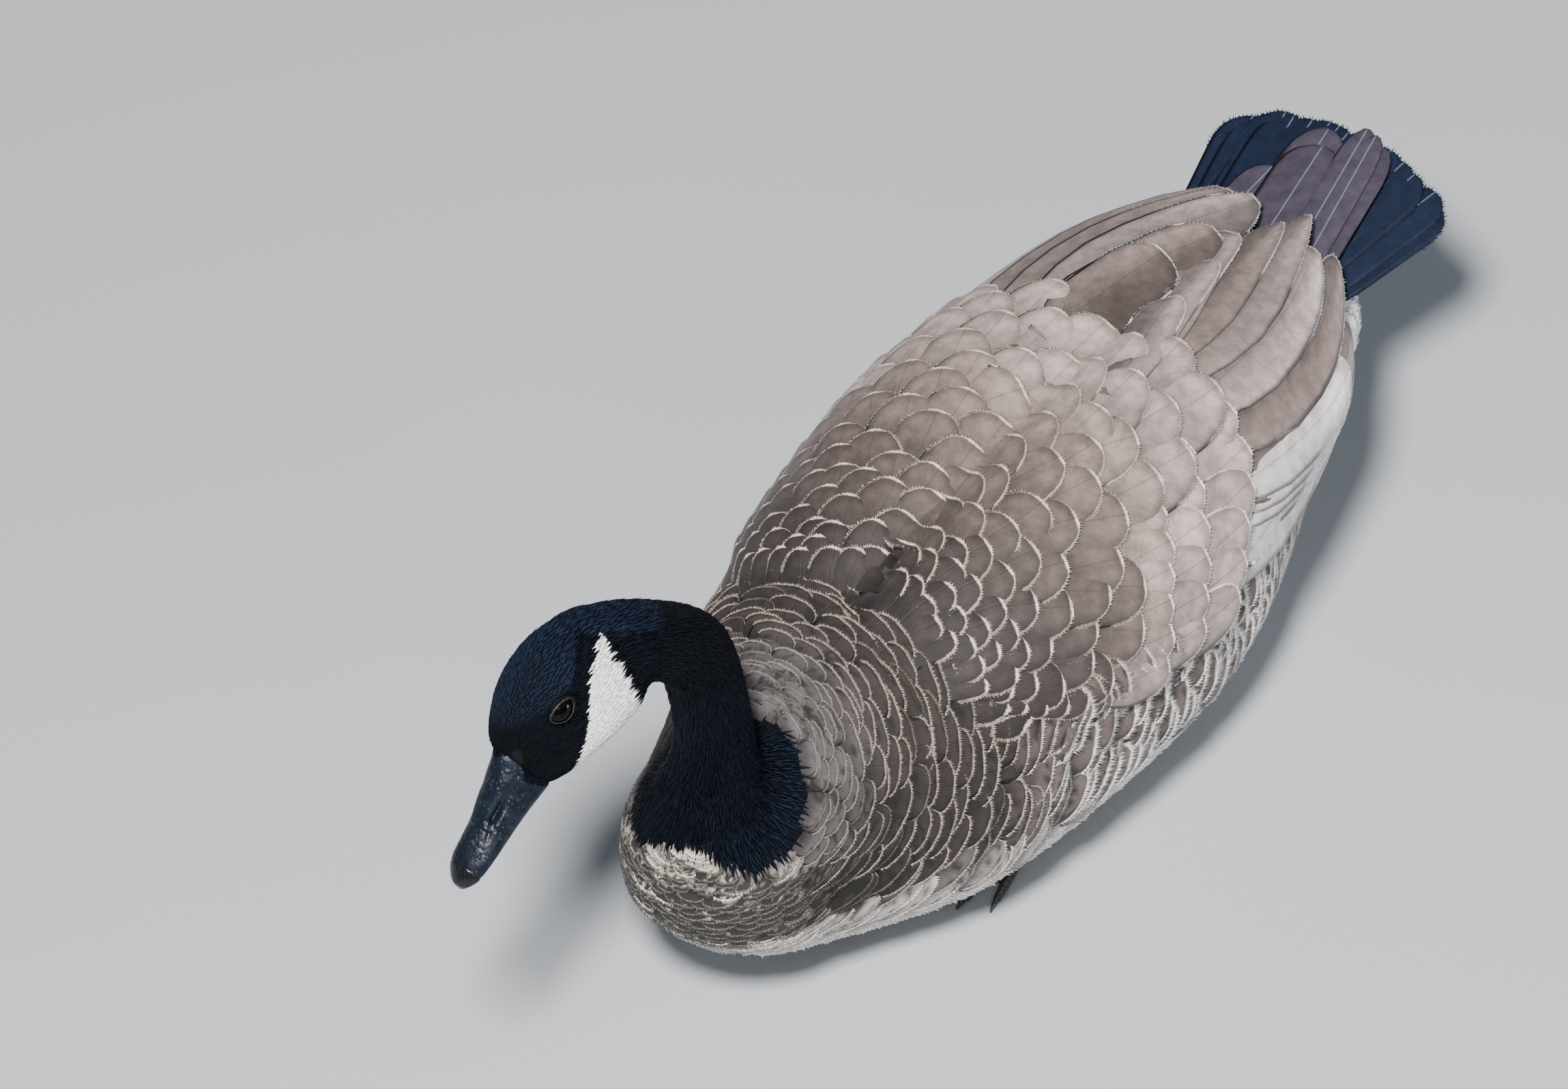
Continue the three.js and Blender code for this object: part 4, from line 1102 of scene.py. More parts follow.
def bill_finish():
    """Blue-black horn, knobbly and pitted, with a soft gloss and painted glints on its knobs."""
    n = Nodes("bill_horn")
    place = n.place()
    broad = n.noise(place, 70.0, 4.0)
    colour = n.mix(n.ramp(broad, 0.3, 0.7), (0.0028, 0.0048, 0.009), (0.0065, 0.0105, 0.019))
    knobs = n.add("ShaderNodeTexVoronoi", {"Vector": place, "Scale": 520.0}, feature="SMOOTH_F1")
    knob = n.ramp(knobs.outputs["Distance"], 0.1, 0.6, 1.0, 0.0)
    grain = n.noise(place, 900.0, 3.0)
    patch = n.ramp(n.noise(place, 110.0, 2.0), 0.4, 0.62)
    height = n.plus(n.times(knob, patch), n.times(grain, 0.3))
    height = n.plus(height, n.times(n.noise(place, 190.0, 3.0), 0.9))
    # Painted glint: the tops of the knobs in patches are paler, as if catching light
    glint = n.times(n.ramp(knob, 0.75, 0.95), patch)
    colour = n.mix(n.times(glint, 0.4), colour, (0.04, 0.05, 0.066))
    rough = n.ramp(n.noise(place, 260.0, 3.0), 0.3, 0.7, 0.27, 0.46)
    return n.end(colour, n.bump(height, 0.55, 0.0008), rough, Specular_IOR_Level=0.2)


def nail_finish():
    n = Nodes("bill_nail_horn")
    streaks = n.noise(n.place((900, 240, 300)), 1.0, 4.0)
    colour = n.mix(n.ramp(streaks, 0.3, 0.75), (0.003, 0.003, 0.004), (0.010, 0.011, 0.014))
    return n.end(colour, n.bump(streaks, 0.15, 0.0003), 0.2, Specular_IOR_Level=0.3)


def leg_finish():
    n = Nodes("leg_scales")
    place = n.place()
    cells = n.add("ShaderNodeTexVoronoi", {"Vector": place, "Scale": 330.0}, feature="DISTANCE_TO_EDGE")
    scale = n.ramp(cells.outputs["Distance"], 0.0, 0.16)
    grain = n.noise(place, 500.0, 3.0)
    colour = n.mix(scale, (0.012, 0.012, 0.013), (0.04, 0.041, 0.043))
    colour = n.mix(n.ramp(grain, 0.3, 0.8, 0.0, 0.4), colour, (0.075, 0.07, 0.066))
    height = n.plus(scale, n.times(grain, 0.3))
    return n.end(colour, n.bump(height, 0.6, 0.0006), 0.52)


def lid_finish():
    n = Nodes("eyelid_skin")
    place = n.place()
    grain = n.noise(place, 1500.0, 3.0)
    colour = n.mix(n.ramp(grain, 0.35, 0.65), (0.004, 0.0045, 0.0055), (0.03, 0.033, 0.038))
    return n.end(colour, n.bump(grain, 0.4, 0.0003), 0.5, Specular_IOR_Level=0.3)


def eye_finish():
    """Iris and pupil by the distance from the eye's axis, under a clear coat."""
    n = Nodes("eye_gloss")
    out = n.kept("iris")
    place = n.place()
    grain = n.noise(place, 1400.0, 3.0)
    iris = n.mix(n.ramp(grain, 0.3, 0.7), (0.0016, 0.0012, 0.0012), (0.0034, 0.0024, 0.0021))
    colour = n.mix(n.ramp(out, 0.40, 0.46), (0.0005, 0.0005, 0.0006), iris)
    colour = n.mix(n.ramp(out, 0.80, 0.95), colour, (0.001, 0.001, 0.0012))
    return n.end(colour, None, 0.5, Specular_IOR_Level=0.0, Coat_Weight=1.0, Coat_Roughness=0.03,
                 Coat_IOR=1.2)


FEATHER_SOFT = plumage_finish(
    "breast_feathers", roughness=0.85, sheen=0.06, barb_depth=0.4, shaft=0.0, wear=0.1, streaks=0.08, band=0.1
)
FEATHER_BROWN = plumage_finish(
    "mantle_feathers", roughness=0.78, sheen=0.02, barb_depth=0.5, shaft=0.12, wear=0.2, streaks=0.12, band=0.25
)
FEATHER_WING = plumage_finish(
    "wing_vanes", roughness=0.66, sheen=0.06, barb_depth=0.5, shaft=0.3, wear=0.26, streaks=0.09, band=0.4
)
FEATHER_TAIL = plumage_finish(
    "tail_vanes", roughness=0.5, sheen=0.0, barb_depth=0.35, shaft=0.35, wear=0.2, streaks=0.1, band=0.0,
    shaft_colour=PALE_SHAFT, gloss=0.2,
)
FEATHER_BLACK = plumage_finish(
    "neck_feathers", roughness=0.55, sheen=0.0, barb_depth=0.25, shaft=0.0, wear=0.1, streaks=0.1, band=0.0,
    gloss=0.06,
)
DOWN = skin_finish()
BILL_HORN = bill_finish()
NAIL_HORN = nail_finish()
LEG_SCALES = leg_finish()
LID_SKIN = lid_finish()
EYE_GLOSS = eye_finish()


# Skin colours


def dress_skin():
    """Gives the skin the coat's markings, its finish, and the solids that it stands for."""
    working = (coordinates(skin.data) - OFFSET) * 1000
    inside = to_head(working)
    coat = mixed(body_colour(working)[0], STAIN_OLIVE, stain_share(working))
    black = (sock_share(working) < 1.03)[:, None]
    coat = np.where(black, BLACK_DEEP, coat)
    coat = np.where((cheek(working) > 0)[:, None], WHITE_CHEEK, coat)
    keep_values(skin.data, "plumage", np.c_[coat, np.ones(len(coat))])
    bare = smooth_step(0.6, -0.6, feathered(inside)) * (inside[:, 1] < -20) * (working[:, 2] > HEAD_FOOT)
    for side in (1, -1):
        bare = np.maximum(bare, fade(0.9, 1.15, eye_share(inside, side)))
    keep_values(skin.data, "bare", bare)
    skin.data.materials.clear()
    skin.data.materials.append(DOWN)
    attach(skin, "root")
    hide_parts("torso", "neck_lower", "neck_middle", "neck_upper", "head")


dress_skin()
ground = Ground(skin)


# Feathers laid on the skin


def skin_surface(root, normal, lie):
    """A surface for add_vanes: strips that start at roots on the skin and follow it."""
    side = unit(np.cross(lie, normal))

    def surface(along, across):
        start = root[:, None, None] + lie[:, None, None] * along[..., None]
        return ground.nearest(start + side[:, None, None] * across[..., None])

    return surface


BODY_SHARES = np.array([0.0, 0.4, 0.64, 0.78, 0.88, 0.95, 1.0])
BODY_COLUMNS = np.array([-1.0, -0.78, -0.5, -0.2, 0.0, 0.2, 0.5, 0.78, 1.0])
# Where the body vanes' tips start to round, their least width near the tip, and how dark the painted shade at their
# roots is
BODY_SQUARE, BODY_TIP, BODY_SHADED_ROOT = 0.66, 0.3, 0.4


def lay_feathers(coat, feathers, seed, barbs, barb_reach, camber=0.12, stained=False):
    """Body feathers that overlap like tiles from their roots on the skin."""
    chance = np.random.default_rng(seed)
    root, normal, lie, length, width, lift, colour, edging, rim_width = feathers
    count = len(root)
    level = chance.uniform(-0.05, 0.05, count)[:, None, None]
    tilt = (lift * chance.normal(0, 0.02, count))[:, None, None]
    reach = lift[:, None, None]

    def height(share, side):
        return -0.6 + reach * share**0.9 + level - camber * side**2 * share + tilt * side

    surface = skin_surface(root, normal, lie)
    all_colour, all_edging = colour, edging
    if stained:
        side = unit(np.cross(lie, normal))[:, None, None]
        places = root[:, None, None] + lie[:, None, None] * (length[:, None] * BODY_SHARES)[:, :, None, None]
        places = places + side * (width[:, None] / 2 * BODY_COLUMNS)[:, None, :, None]
        stain = stain_share(places)
        all_colour = mixed(colour[:, None, None], STAIN_OLIVE, stain)
        all_edging = mixed(edging[:, None, None], STAIN_OLIVE, stain * STAIN_ON_RIM)
        edging = mixed(edging, STAIN_OLIVE, stain_share(root + lie * length[:, None]) * STAIN_ON_RIM)
    points, up, vane, bake = add_vanes(
        coat, surface, BODY_SHARES, BODY_COLUMNS, length, width, BODY_SQUARE, height, all_colour, all_edging,
        rim_width[:, None, None], chance, bake_roots(around_trunk(root)), BAKE_PATCH, BODY_TIP, BODY_SHADED_ROOT,
    )
    add_barbs(coat, points, up, vane, bake, barbs, 0.6 + length * barb_reach, width * 1.25 / barbs, edging,
              chance, first_row=3)


FIRST_ROW, LAST_ROW = 30.0, 560.0


def row_roots(seed, count, keep, step, gap):
    """Roots in rows round the neck's base, step() apart along the lie and gap() apart in a row."""
    chance = np.random.default_rng(seed)
    root, normal = ground.scattered(count, chance, keep)
    rows = [FIRST_ROW]
    while rows[-1] < LAST_ROW:
        rows.append(rows[-1] + float(step(np.array([rows[-1]]))[0]))
    rows = np.array(rows)
    far = neck_reach(root)
    index = np.clip(np.searchsorted(rows, far), 1, len(rows) - 1)
    index -= (far - rows[index - 1]) < (rows[index] - far)
    off = np.abs(far - rows[index]) / step(far)
    order = np.argsort(off + chance.uniform(0, 0.25, len(off)), kind="stable")
    order = order[off[order] < 0.5]
    apart = root[order] + np.stack([index[order] * 1000.0, 0 * order, 0 * order], -1)
    kept = order[spaced(apart, gap(far[order]), 30.0)]
    root, normal = root[kept], normal[kept]
    lie = body_lie(root, normal)
    shift = rows[index[kept]] - far[kept] + chance.normal(0, 0.12, len(kept)) * step(far[kept])
    root, normal = ground.nearest(root + lie * shift[:, None])
    lie = body_lie(root, normal)
    return root, normal, tousled(lie, normal, chance, 0.06), chance


def under_wing(points):
    """True where the wings hide the trunk well inside their edges."""
    x, y, z = np.abs(points[..., 0]), points[..., 1], points[..., 2]
    edge = wing_at(y)[3]
    front = np.interp(x, [0, 12, 40, 90], [-60, -68, -80, -92])
    hidden = (y > front) & (y < 268) & (z > edge + np.interp(y, [20, 90], [9, -6]))
    rump = (y >= 200) & (z > edge - 2) & (x < 52)
    return hidden | rump


def on_trunk(points):
    return (points[..., 1] > -232) & (sock_share(points) > 0.9) & (points[..., 2] < 230)


def on_belly(points):
    """True on the plain belly and vent, and false on the rippled flanks above them."""
    y, z = points[..., 1], points[..., 2]
    return (z < BELLY_LINE - 6) | (y > 205)


def shaded(colour, chance, amount):
    return colour * (1 + chance.uniform(-amount, amount, (len(colour), 1)))


def on_breast(points):
    """True on the front of the breast, whose feathers are the finest."""
    return (points[..., 1] < -186) & (points[..., 2] < 158)


def rippled_feathers():
    """Mantle, breast and flanks: rows of wide feathers that grow away from the neck."""

    def step(far):
        return np.interp(far, [30, 50, 80, 110, 150, 200, 300, 420], [2.3, 2.9, 4.2, 5.5, 6.3, 5.8, 5.6, 6.5])

    def gap(far):
        return step(far) * np.interp(far, [30, 60, 100, 200], [3.6, 4.4, 4.3, 3.7])

    def fine_step(far):
        return np.interp(far, [30, 110], [2.2, 3.2])

    def fine_gap(far):
        return fine_step(far) * 3.4

    def keep(points):
        return on_trunk(points) & ~on_belly(points) & ~under_wing(points) & ~on_breast(points)

    def keep_breast(points):
        return on_trunk(points) & ~on_belly(points) & on_breast(points)

    for seed, kept, pace, spread in ((3, keep, step, gap), (13, keep_breast, fine_step, fine_gap)):
        root, normal, lie, chance = row_roots(seed, 90000, kept, pace, spread)
        far = neck_reach(root)
        length = pace(far) * 5 * chance.uniform(0.9, 1.12, len(root))
        width = spread(far) * 1.72 * chance.uniform(0.82, 1.18, len(root))
        edge = wing_at(root[:, 1])[3]
        by_wing = fade(4, 26, edge - root[:, 2]) * smooth_step(-80, -50, root[:, 1])
        by_wing *= fade(0, 60, root[:, 1])
        lift = np.interp(far, [30, 60, 110, 160], [1.4, 2.4, 3.8, 4.1]) + 2.4 * by_wing
        colour, edging = body_colour(root + lie * length[:, None] * 0.8)
        flank = flank_share(root)
        rim_width = np.interp(far, [30, 60, 110, 160], [0.3, 0.4, 0.6, 0.7]) + 0.9 * flank
        colour, edging = shaded(colour, chance, 0.15), shaded(edging, chance, 0.14)
        fluffy = flank > 0.4
        feathers = (root, normal, lie, length, width, lift, colour, edging, rim_width)
        if kept is keep_breast:
            pieces = (("breast_feathers", FEATHER_SOFT, np.ones(len(root), bool), 0.12, 26),)
        else:
            pieces = (
                ("mantle_feathers", FEATHER_BROWN, ~fluffy, 0.045, 50),
                ("flank_feathers", FEATHER_BROWN, fluffy, 0.09, 56),
            )
        for name, material, chosen, barb_reach, barbs in pieces:
            piece = Coat()
            lay_feathers(piece, [values[chosen] for values in feathers], 5, barbs, barb_reach, stained=True)
            piece.made(name, material, "plumage_brown")


def belly_feathers():
    """The white belly and vent: soft flat feathers in plain rows."""

    def step(far):
        return 8.5 + 0 * far

    def gap(far):
        return 10.5 + 0 * far

    def keep(points):
        return (on_trunk(points) & on_belly(points) & ~under_wing(points)).astype(float)

    root, normal, lie, chance = row_roots(4, 60000, keep, step, gap)
    count = len(root)
    length = 27 * chance.uniform(0.9, 1.1, count)
    width = 26 * chance.uniform(0.9, 1.1, count)
    lift = np.where(root[:, 2] < 12, 1.2, 1.9)
    colour, edging = body_colour(root + lie * 12)
    colour, edging = shaded(colour, chance, 0.05), shaded(edging, chance, 0.04)
    feathers = (root, normal, lie, length, width, lift, colour, edging, np.full(count, 2.0))
    piece = Coat()
    lay_feathers(piece, feathers, 6, barbs=14, barb_reach=0.08, camber=0.5)
    piece.made("belly_feathers", FEATHER_SOFT, "plumage_brown")


def add_locks(coat, surface, root, normal, lie, length, width, colour, tip_colour, seed, lift):
    """Hair-fine feathers of the head and neck, each a thin three-sided lock."""
    chance = np.random.default_rng(seed)
    count = len(root)
    side = unit(np.cross(lie, normal))
    middle, middle_up = surface.nearest(root + lie * length[:, None] * 0.5)
    end, end_up = surface.nearest(root + lie * length[:, None])
    wide = width[:, None] / 2
    rise = (lift * chance.uniform(0.5, 1.3, count))[:, None]
    points = np.stack(
        [
            root - side * wide * 0.7 - normal * 0.4,
            root + side * wide * 0.7 - normal * 0.4,
            root + normal * 0.15,
            middle - side * wide + middle_up * rise * 0.3,
            middle + side * wide + middle_up * rise * 0.3,
            middle + middle_up * (rise * 0.45 + wide * 0.3),
            end + end_up * rise,
        ],
        1,
    )
    quads = np.array([[0, 3, 5, 2], [2, 5, 4, 1], [1, 4, 3, 0]])
    triangles = np.array([[3, 6, 5], [5, 6, 4], [4, 6, 3], [0, 2, 1]])
    across = np.array([-1, 1, 0, -1, 1, 0, 0]) * 0.5
    share = np.array([0, 0, 0, 0.5, 0.5, 0.5, 1.0])
    vane = np.stack(
        [across[None] * width[:, None] / 10 + 0 * share, share[None] * length[:, None] / 10], -1
    ) + chance.random((count, 1, 1)) * 30
    patch = np.stack([across + 0.5, share], -1) * BAKE_PATCH
    bake = bake_roots(around_neck(root))[:, None] + patch[None]
    tone = colour[:, None] * (1 - share[None, :, None]) + tip_colour[:, None] * share[None, :, None]
    coat.add(points, faces_of_all(count, 7, (quads, triangles)), tone, tone, np.full(count * 7, 2.0), vane, bake)


def neck_keep(points):
    inside = to_head(points)
    is_neck = (sock_share(points) < 1.0) & (points[..., 2] > 112)
    by_eye = (eye_share(inside, 1) < 1.12) | (eye_share(inside, -1) < 1.12)
    bare = (feathered(inside) < 0.3) & (points[..., 2] > HEAD_FOOT) & (inside[..., 1] < -20)
    return (is_neck & ~by_eye & ~bare).astype(float)


def lock_colours(root, tip, white, chance):
    """Black, with painted sheen: blue-grey light on the crown, the nape, the ruff at the neck's foot and random locks,
    and painted shade on the head below the crown.
    """
    # Painted sheen: the ruff at the neck's foot is lit blue-grey on its left and rear side
    ruff = smooth_step(0.62, 0.9, sock_share(tip)) * smooth_step(-25, 25, tip[:, 0] + 0.4 * (tip[:, 1] + 179))
    inside = to_head(tip)
    # Painted sheen: the crown and nape above a line back from the eye are lit blue-grey
    line = np.interp(inside[:, 1], [-30, 8, 30, 60], [14, 9, 16.7, -22])
    crown = smooth_step(-1.5, 3.5, inside[:, 2] - line) * smooth_step(215, 240, tip[:, 2])
    # Painted sheen: random locks catch a lighter blue
    sheen = chance.uniform(0, 1, len(root))
    dark = mixed(mixed(BLACK_DEEP, BLACK_BLUE, 0.6 * sheen**3), BLACK_BLUE, crown)
    blue = mixed(BLACK_BLUE, RUFF_SHEEN_BLUE, np.clip(0.8 * ruff + 0.35 * sheen**3, 0, 1))
    blue = mixed(blue, CROWN_SHEEN_BLUE * 1.1, crown * (0.55 + 0.45 * sheen))
    # Painted shade: on the head, the tips below the crown's line are darker
    blue = mixed(blue, BLACK_DEEP, 0.6 * (1 - crown) * smooth_step(225, 245, tip[:, 2]))
    dark = np.where(white[:, None], WHITE_CHEEK * 0.93, dark)
    blue = np.where(white[:, None], WHITE_CHEEK, blue)
    return shaded(dark, chance, 0.04), shaded(blue, chance, 0.06)


HEAD_LOCKS_FOOT = 232


def neck_and_head_locks():
    """Fine locks all over head and neck, white on the cheeks and shortest on the face."""
    chance = np.random.default_rng(8)
    root, normal = ground.scattered(150000, chance, neck_keep)
    forward = np.clip((36 - to_head(root)[:, 1]) / 60, 0, 1)
    on_head = root[:, 2] > HEAD_LOCKS_FOOT
    kept = spaced(root, np.where(on_head, blend(1.75, 1.12, forward), 1.85), 4.0)
    root, normal, forward, on_head = root[kept], normal[kept], forward[kept], on_head[kept]
    lie = tousled(neck_lie(root, normal), normal, chance, 0.09)
    face = forward * on_head
    length = blend(9.0, 3.2, face) * chance.uniform(0.8, 1.2, len(root))
    width = blend(1.7, 0.95, face) * chance.uniform(0.8, 1.2, len(root))
    length *= np.where(on_head, blend(0.62, 1, smooth_step(2, 6, np.abs(cheek(root)))), 1)
    tip = root + lie * length[:, None] * 0.8
    white = cheek(tip) > chance.normal(0, 0.5, len(root))
    colour, tip_colour = lock_colours(root, tip, white, chance)
    lift = blend(1.0, 0.45, face)
    within = (sock_share(tip) < chance.normal(1.02, 0.03, len(root))) | on_head
    for name, chosen, material, slot in (
        ("head_feathers", on_head & ~white, FEATHER_BLACK, "plumage_black"),
        ("cheek_feathers", on_head & white, FEATHER_SOFT, "plumage_brown"),
        ("neck_feathers", ~on_head & within, FEATHER_BLACK, "plumage_black"),
    ):
        piece = Coat()
        if name == "head_feathers":
            bill_edge_locks(piece)
        add_locks(piece, ground, root[chosen], normal[chosen], lie[chosen], length[chosen], width[chosen],
                  colour[chosen], tip_colour[chosen], 9, lift[chosen])
        piece.made(name, material, slot)


def bill_edge_locks(piece):
    """Short feathers that reach forward over the base of the bill, down to its bare skin."""

    def keep(points):
        inside = to_head(points)
        return ((inside[:, 1] > -45) & (inside[:, 1] < -31) & (feathered(inside) > 0)).astype(float)

    chance = np.random.default_rng(31)
    for surface in (Ground(upper_bill), Ground(lower_bill)):
        root, normal = surface.scattered(9000, chance, keep)
        kept = spaced(root, np.full(len(root), 0.95), 4.0)
        root, normal = root[kept], normal[kept]
        back = np.broadcast_to(HEAD_AXES @ np.array([0, 1.0, 0]), root.shape)
        lie = unit(back - normal * np.sum(back * normal, -1, keepdims=True) + normal * 0.12)
        lie = tousled(lie, normal, chance, 0.12)
        count = len(root)
        dark, blue = lock_colours(root, root, np.zeros(count, bool), chance)
        length = chance.uniform(2.2, 3.4, count)
        add_locks(piece, surface, root, normal, lie, length, chance.uniform(0.7, 1.0, count), dark, blue, 33,
                  0.9 + 0.12 * np.clip(to_head(root)[:, 1] + 42, 0, 8))


# Bill


BILL_TIP_ROUND = 13
LOWER_INSET, BILL_GAP = 1.6, 0.3


def bill_section(y, upper, columns, grow=0.0):
    """Points round the bill's upper or lower half at each Y, in the head's frame."""
    culmen, edge, under, half = bill_at(y)
    past = np.clip((BILL[0][0] + BILL_TIP_ROUND - y) / BILL_TIP_ROUND, 0, 1)
    size = np.sqrt(np.clip(1 - past**2, 0, 1))
    wide = (half if upper else half - LOWER_INSET) * size + grow
    mid = edge if upper else edge - BILL_GAP
    angle = circle(columns)[None]
    up = np.clip(np.cos(angle) * (1 if upper else -1), 0, 1)
    reach = (culmen - edge if upper else mid - under)[:, None]
    dome = up ** (1.35 if upper else 0.8) * (reach * (size**0.6)[:, None] + grow)
    x = wide[:, None] * signed_power(np.sin(angle), 0.85)
    return sections(x, y, mid[:, None] + (dome if upper else -dome))


def along_line(y, z, at_y, at_z, degrees):
    """How far places lie along and above a sloping line on the bill's side."""
    tilt = math.radians(degrees)
    dy, dz = y - at_y, z - at_z
    return dy * math.cos(tilt) + dz * math.sin(tilt), -dy * math.sin(tilt) + dz * math.cos(tilt)


def long_form(along, over, long, high):
    """A long form with blunt ends along a line: 1 in its middle."""
    return np.exp(-((along / long) ** 4) - ((over / high) ** 2))


def bill_rings(upper, rows=150, columns=120):
    """Rings along a half of the bill, the upper one with its nostril slots, grooves and folds."""
    bend = np.linspace(0, 1, rows)
    points = bill_section(blend(-34, BILL[0][0] + 0.05, 1 - (1 - bend) ** 1.4), upper, columns)
    if not upper:
        return points
    x, y, z = points[..., 0], points[..., 1], points[..., 2]
    sign, out = np.sign(x), np.abs(x) > 2.5
    along, over = along_line(y, z, -60, -11.5, 14)
    slot = long_form(along, over - 0.012 * along**2, 5.4, 1.15)
    groove = long_form(*along_line(y, z, -64, -13, 18), 11, 0.8)
    fold = long_form(along - 1, over - 3.0, 9, 1.9)
    wall = long_form(along + 2, over + 3.0, 10, 1.8)
    base = mound(y, z, -46, -6, 4, 4.5)
    push = 0.75 * fold + 0.5 * wall + 0.6 * base - 2.6 * slot - 0.9 * groove
    points[..., 0] = x + sign * push * out * smooth_step(2.5, 5, np.abs(x))
    points[..., 2] = z + np.where(np.abs(x) < 9, 0.45 * push, 0)
    lip = np.exp(-(((z + 20.5) / 1.6) ** 2)) * smooth_step(-90, -80, y)
    points[..., 0] += sign * 0.4 * lip
    return points


def rigid_piece(name, points, faces, material, replaced=()):
    obj = mesh_object(name, to_metres(points), faces)
    outward(obj)
    obj.data.materials.append(material)
    obj.data.shade_smooth()
    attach(obj, "root")
    if replaced:
        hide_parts(*replaced)
    return obj


def bill_half(name, upper):
    points, faces = tube(bill_rings(upper))
    replaced = ["bill_upper" if upper else "bill_lower"]
    return rigid_piece(name, from_head(points), faces, BILL_HORN, replaced)


def ball(rows, columns):
    """Unit ball's points and faces about the X axis."""
    theta = np.pi * (np.arange(rows) + 0.5) / rows
    phi = circle(columns)
    x = np.broadcast_to(np.cos(theta)[:, None], (rows, columns))
    rings = np.stack([x, np.sin(theta)[:, None] * np.cos(phi), np.sin(theta)[:, None] * np.sin(phi)], -1)
    points, faces = tube(rings)
    points[-2:] = [[1, 0, 0], [-1, 0, 0]]
    return points, faces


NAIL_START, NAIL_FULL = -86.5, -90.5
NAIL_THICK, NAIL_HOOK = 0.32, 2.6


def nail(rows=40, columns=72):
    """The glossy nail that covers the bill's tip and hooks over its lower half."""
    y = blend(NAIL_START, BILL[0][0] + 0.02, np.linspace(0, 1, rows) ** 0.8)
    front = smooth_step(NAIL_START, NAIL_FULL, y)[:, None]
    top = bill_section(y, True, columns, NAIL_THICK)
    x, z = top[..., 0], top[..., 2]
    edge = bill_at(y)[1][:, None]
    span = np.cos(circle(columns))[None]
    z = np.where(span < 0, edge - NAIL_HOOK * front * np.abs(span) ** 0.7, z)
    points = np.stack([x * blend(0.72, 1, front), top[..., 1], z - 0.9 * (1 - front)], -1)
    around, faces = tube(points)
    rigid_piece("bill_nail_horn", from_head(around), faces, NAIL_HORN, ["bill_nail"])


IRIS_REACH, IRIS_OUTSIDE = 0.86, 1.2


def eye(side, name, replaced):
    """An eyeball with the distance from its axis kept for the iris and pupil."""
    points, faces = ball(32, 48)
    out = np.hypot(points[:, 1], points[:, 2])
    facing = points[:, 0] > 0
    points = points * EYE_RADIUS
    points[:, 0] *= side
    points = points + np.array([EYE_AT[0] * side, EYE_AT[1], EYE_AT[2]])
    obj = rigid_piece(name, from_head(points), faces, EYE_GLOSS, [replaced])
    keep_values(obj.data, "iris", np.where(facing, out / IRIS_REACH, IRIS_OUTSIDE))


def eyelids(side, name, rows=96, columns=14):
    """A thin round rim on the eyeball, about its almond opening."""
    turn = circle(rows)[:, None]
    loop = circle(columns)[None]
    thick = 0.38 + 0.06 * np.cos(2 * turn)
    out, rise = thick * np.cos(loop), thick * np.sin(loop)
    corner = 1 + 0.1 * np.cos(turn) ** 4
    y = (LID_OPENING[0] + out) * np.cos(turn) * corner
    z = (LID_OPENING[1] + out) * np.sin(turn)
    high = EYE_RADIUS + 0.2 + rise
    x = np.sqrt(np.maximum(high**2 - y**2 - z**2, 1))
    tilt = math.radians(LID_TILT)
    points = np.stack(
        [
            side * (EYE_AT[0] + x),
            EYE_AT[1] + y * math.cos(tilt) - z * math.sin(tilt),
            EYE_AT[2] + y * math.sin(tilt) + z * math.cos(tilt),
        ],
        -1,
    )
    faces = grid_faces(rows + 1, columns) % (rows * columns)
    rigid_piece(name, from_head(points.reshape(-1, 3)), faces, LID_SKIN)


upper_bill = bill_half("bill_upper_horn", True)
lower_bill = bill_half("bill_lower_horn", False)
nail()
eye(1, "eyeball_left", "eye_left")
eye(-1, "eyeball_right", "eye_right")
eyelids(1, "eyelids_left")
eyelids(-1, "eyelids_right")
for name in ("leg_left", "leg_right", "foot_left", "foot_right"):
    limb = bpy.data.objects[name]
    if not limb.material_slots:
        limb.data.materials.append(LEG_SCALES)
    limb.material_slots[0].link = "OBJECT"
    limb.material_slots[0].material = LEG_SCALES


rippled_feathers()
belly_feathers()
neck_and_head_locks()


# Wings and tail


def wing_frame(y, a):
    """Place, unit normal and millimetres to a unit of a on the wings' sheet."""
    place = wing_point(y, a, 0 * a)
    by_a = (wing_point(y, a + 1e-3, 0 * a) - wing_point(y, a - 1e-3, 0 * a)) / 2e-3
    by_y = (wing_point(y + 0.5, a, 0 * a) - wing_point(y - 0.5, a, 0 * a)) / 1.0
    breadth = np.linalg.norm(by_a, axis=-1)
    return place, unit(np.cross(by_a, by_y)), breadth


def wing_surface(root, tip):
    """A surface for add_vanes on the wings' sheet, from roots and tips given as (y, a)."""
    middle = (root + tip) / 2
    breadth = wing_frame(middle[:, 0], middle[:, 1])[2]
    step_y, step_a = (tip - root).T
    length = np.hypot(step_y, step_a * breadth)
    forward_y, forward_a = step_y / length, step_a * breadth / length

    def surface(along, across):
        y = root[:, 0, None, None] + along * forward_y[:, None, None] - across * forward_a[:, None, None]
        shift = (along * forward_a[:, None, None] + across * forward_y[:, None, None]) / breadth[:, None, None]
        place, normal, _ = wing_frame(y, root[:, 1, None, None] + shift)
        return place, normal

    return surface, length


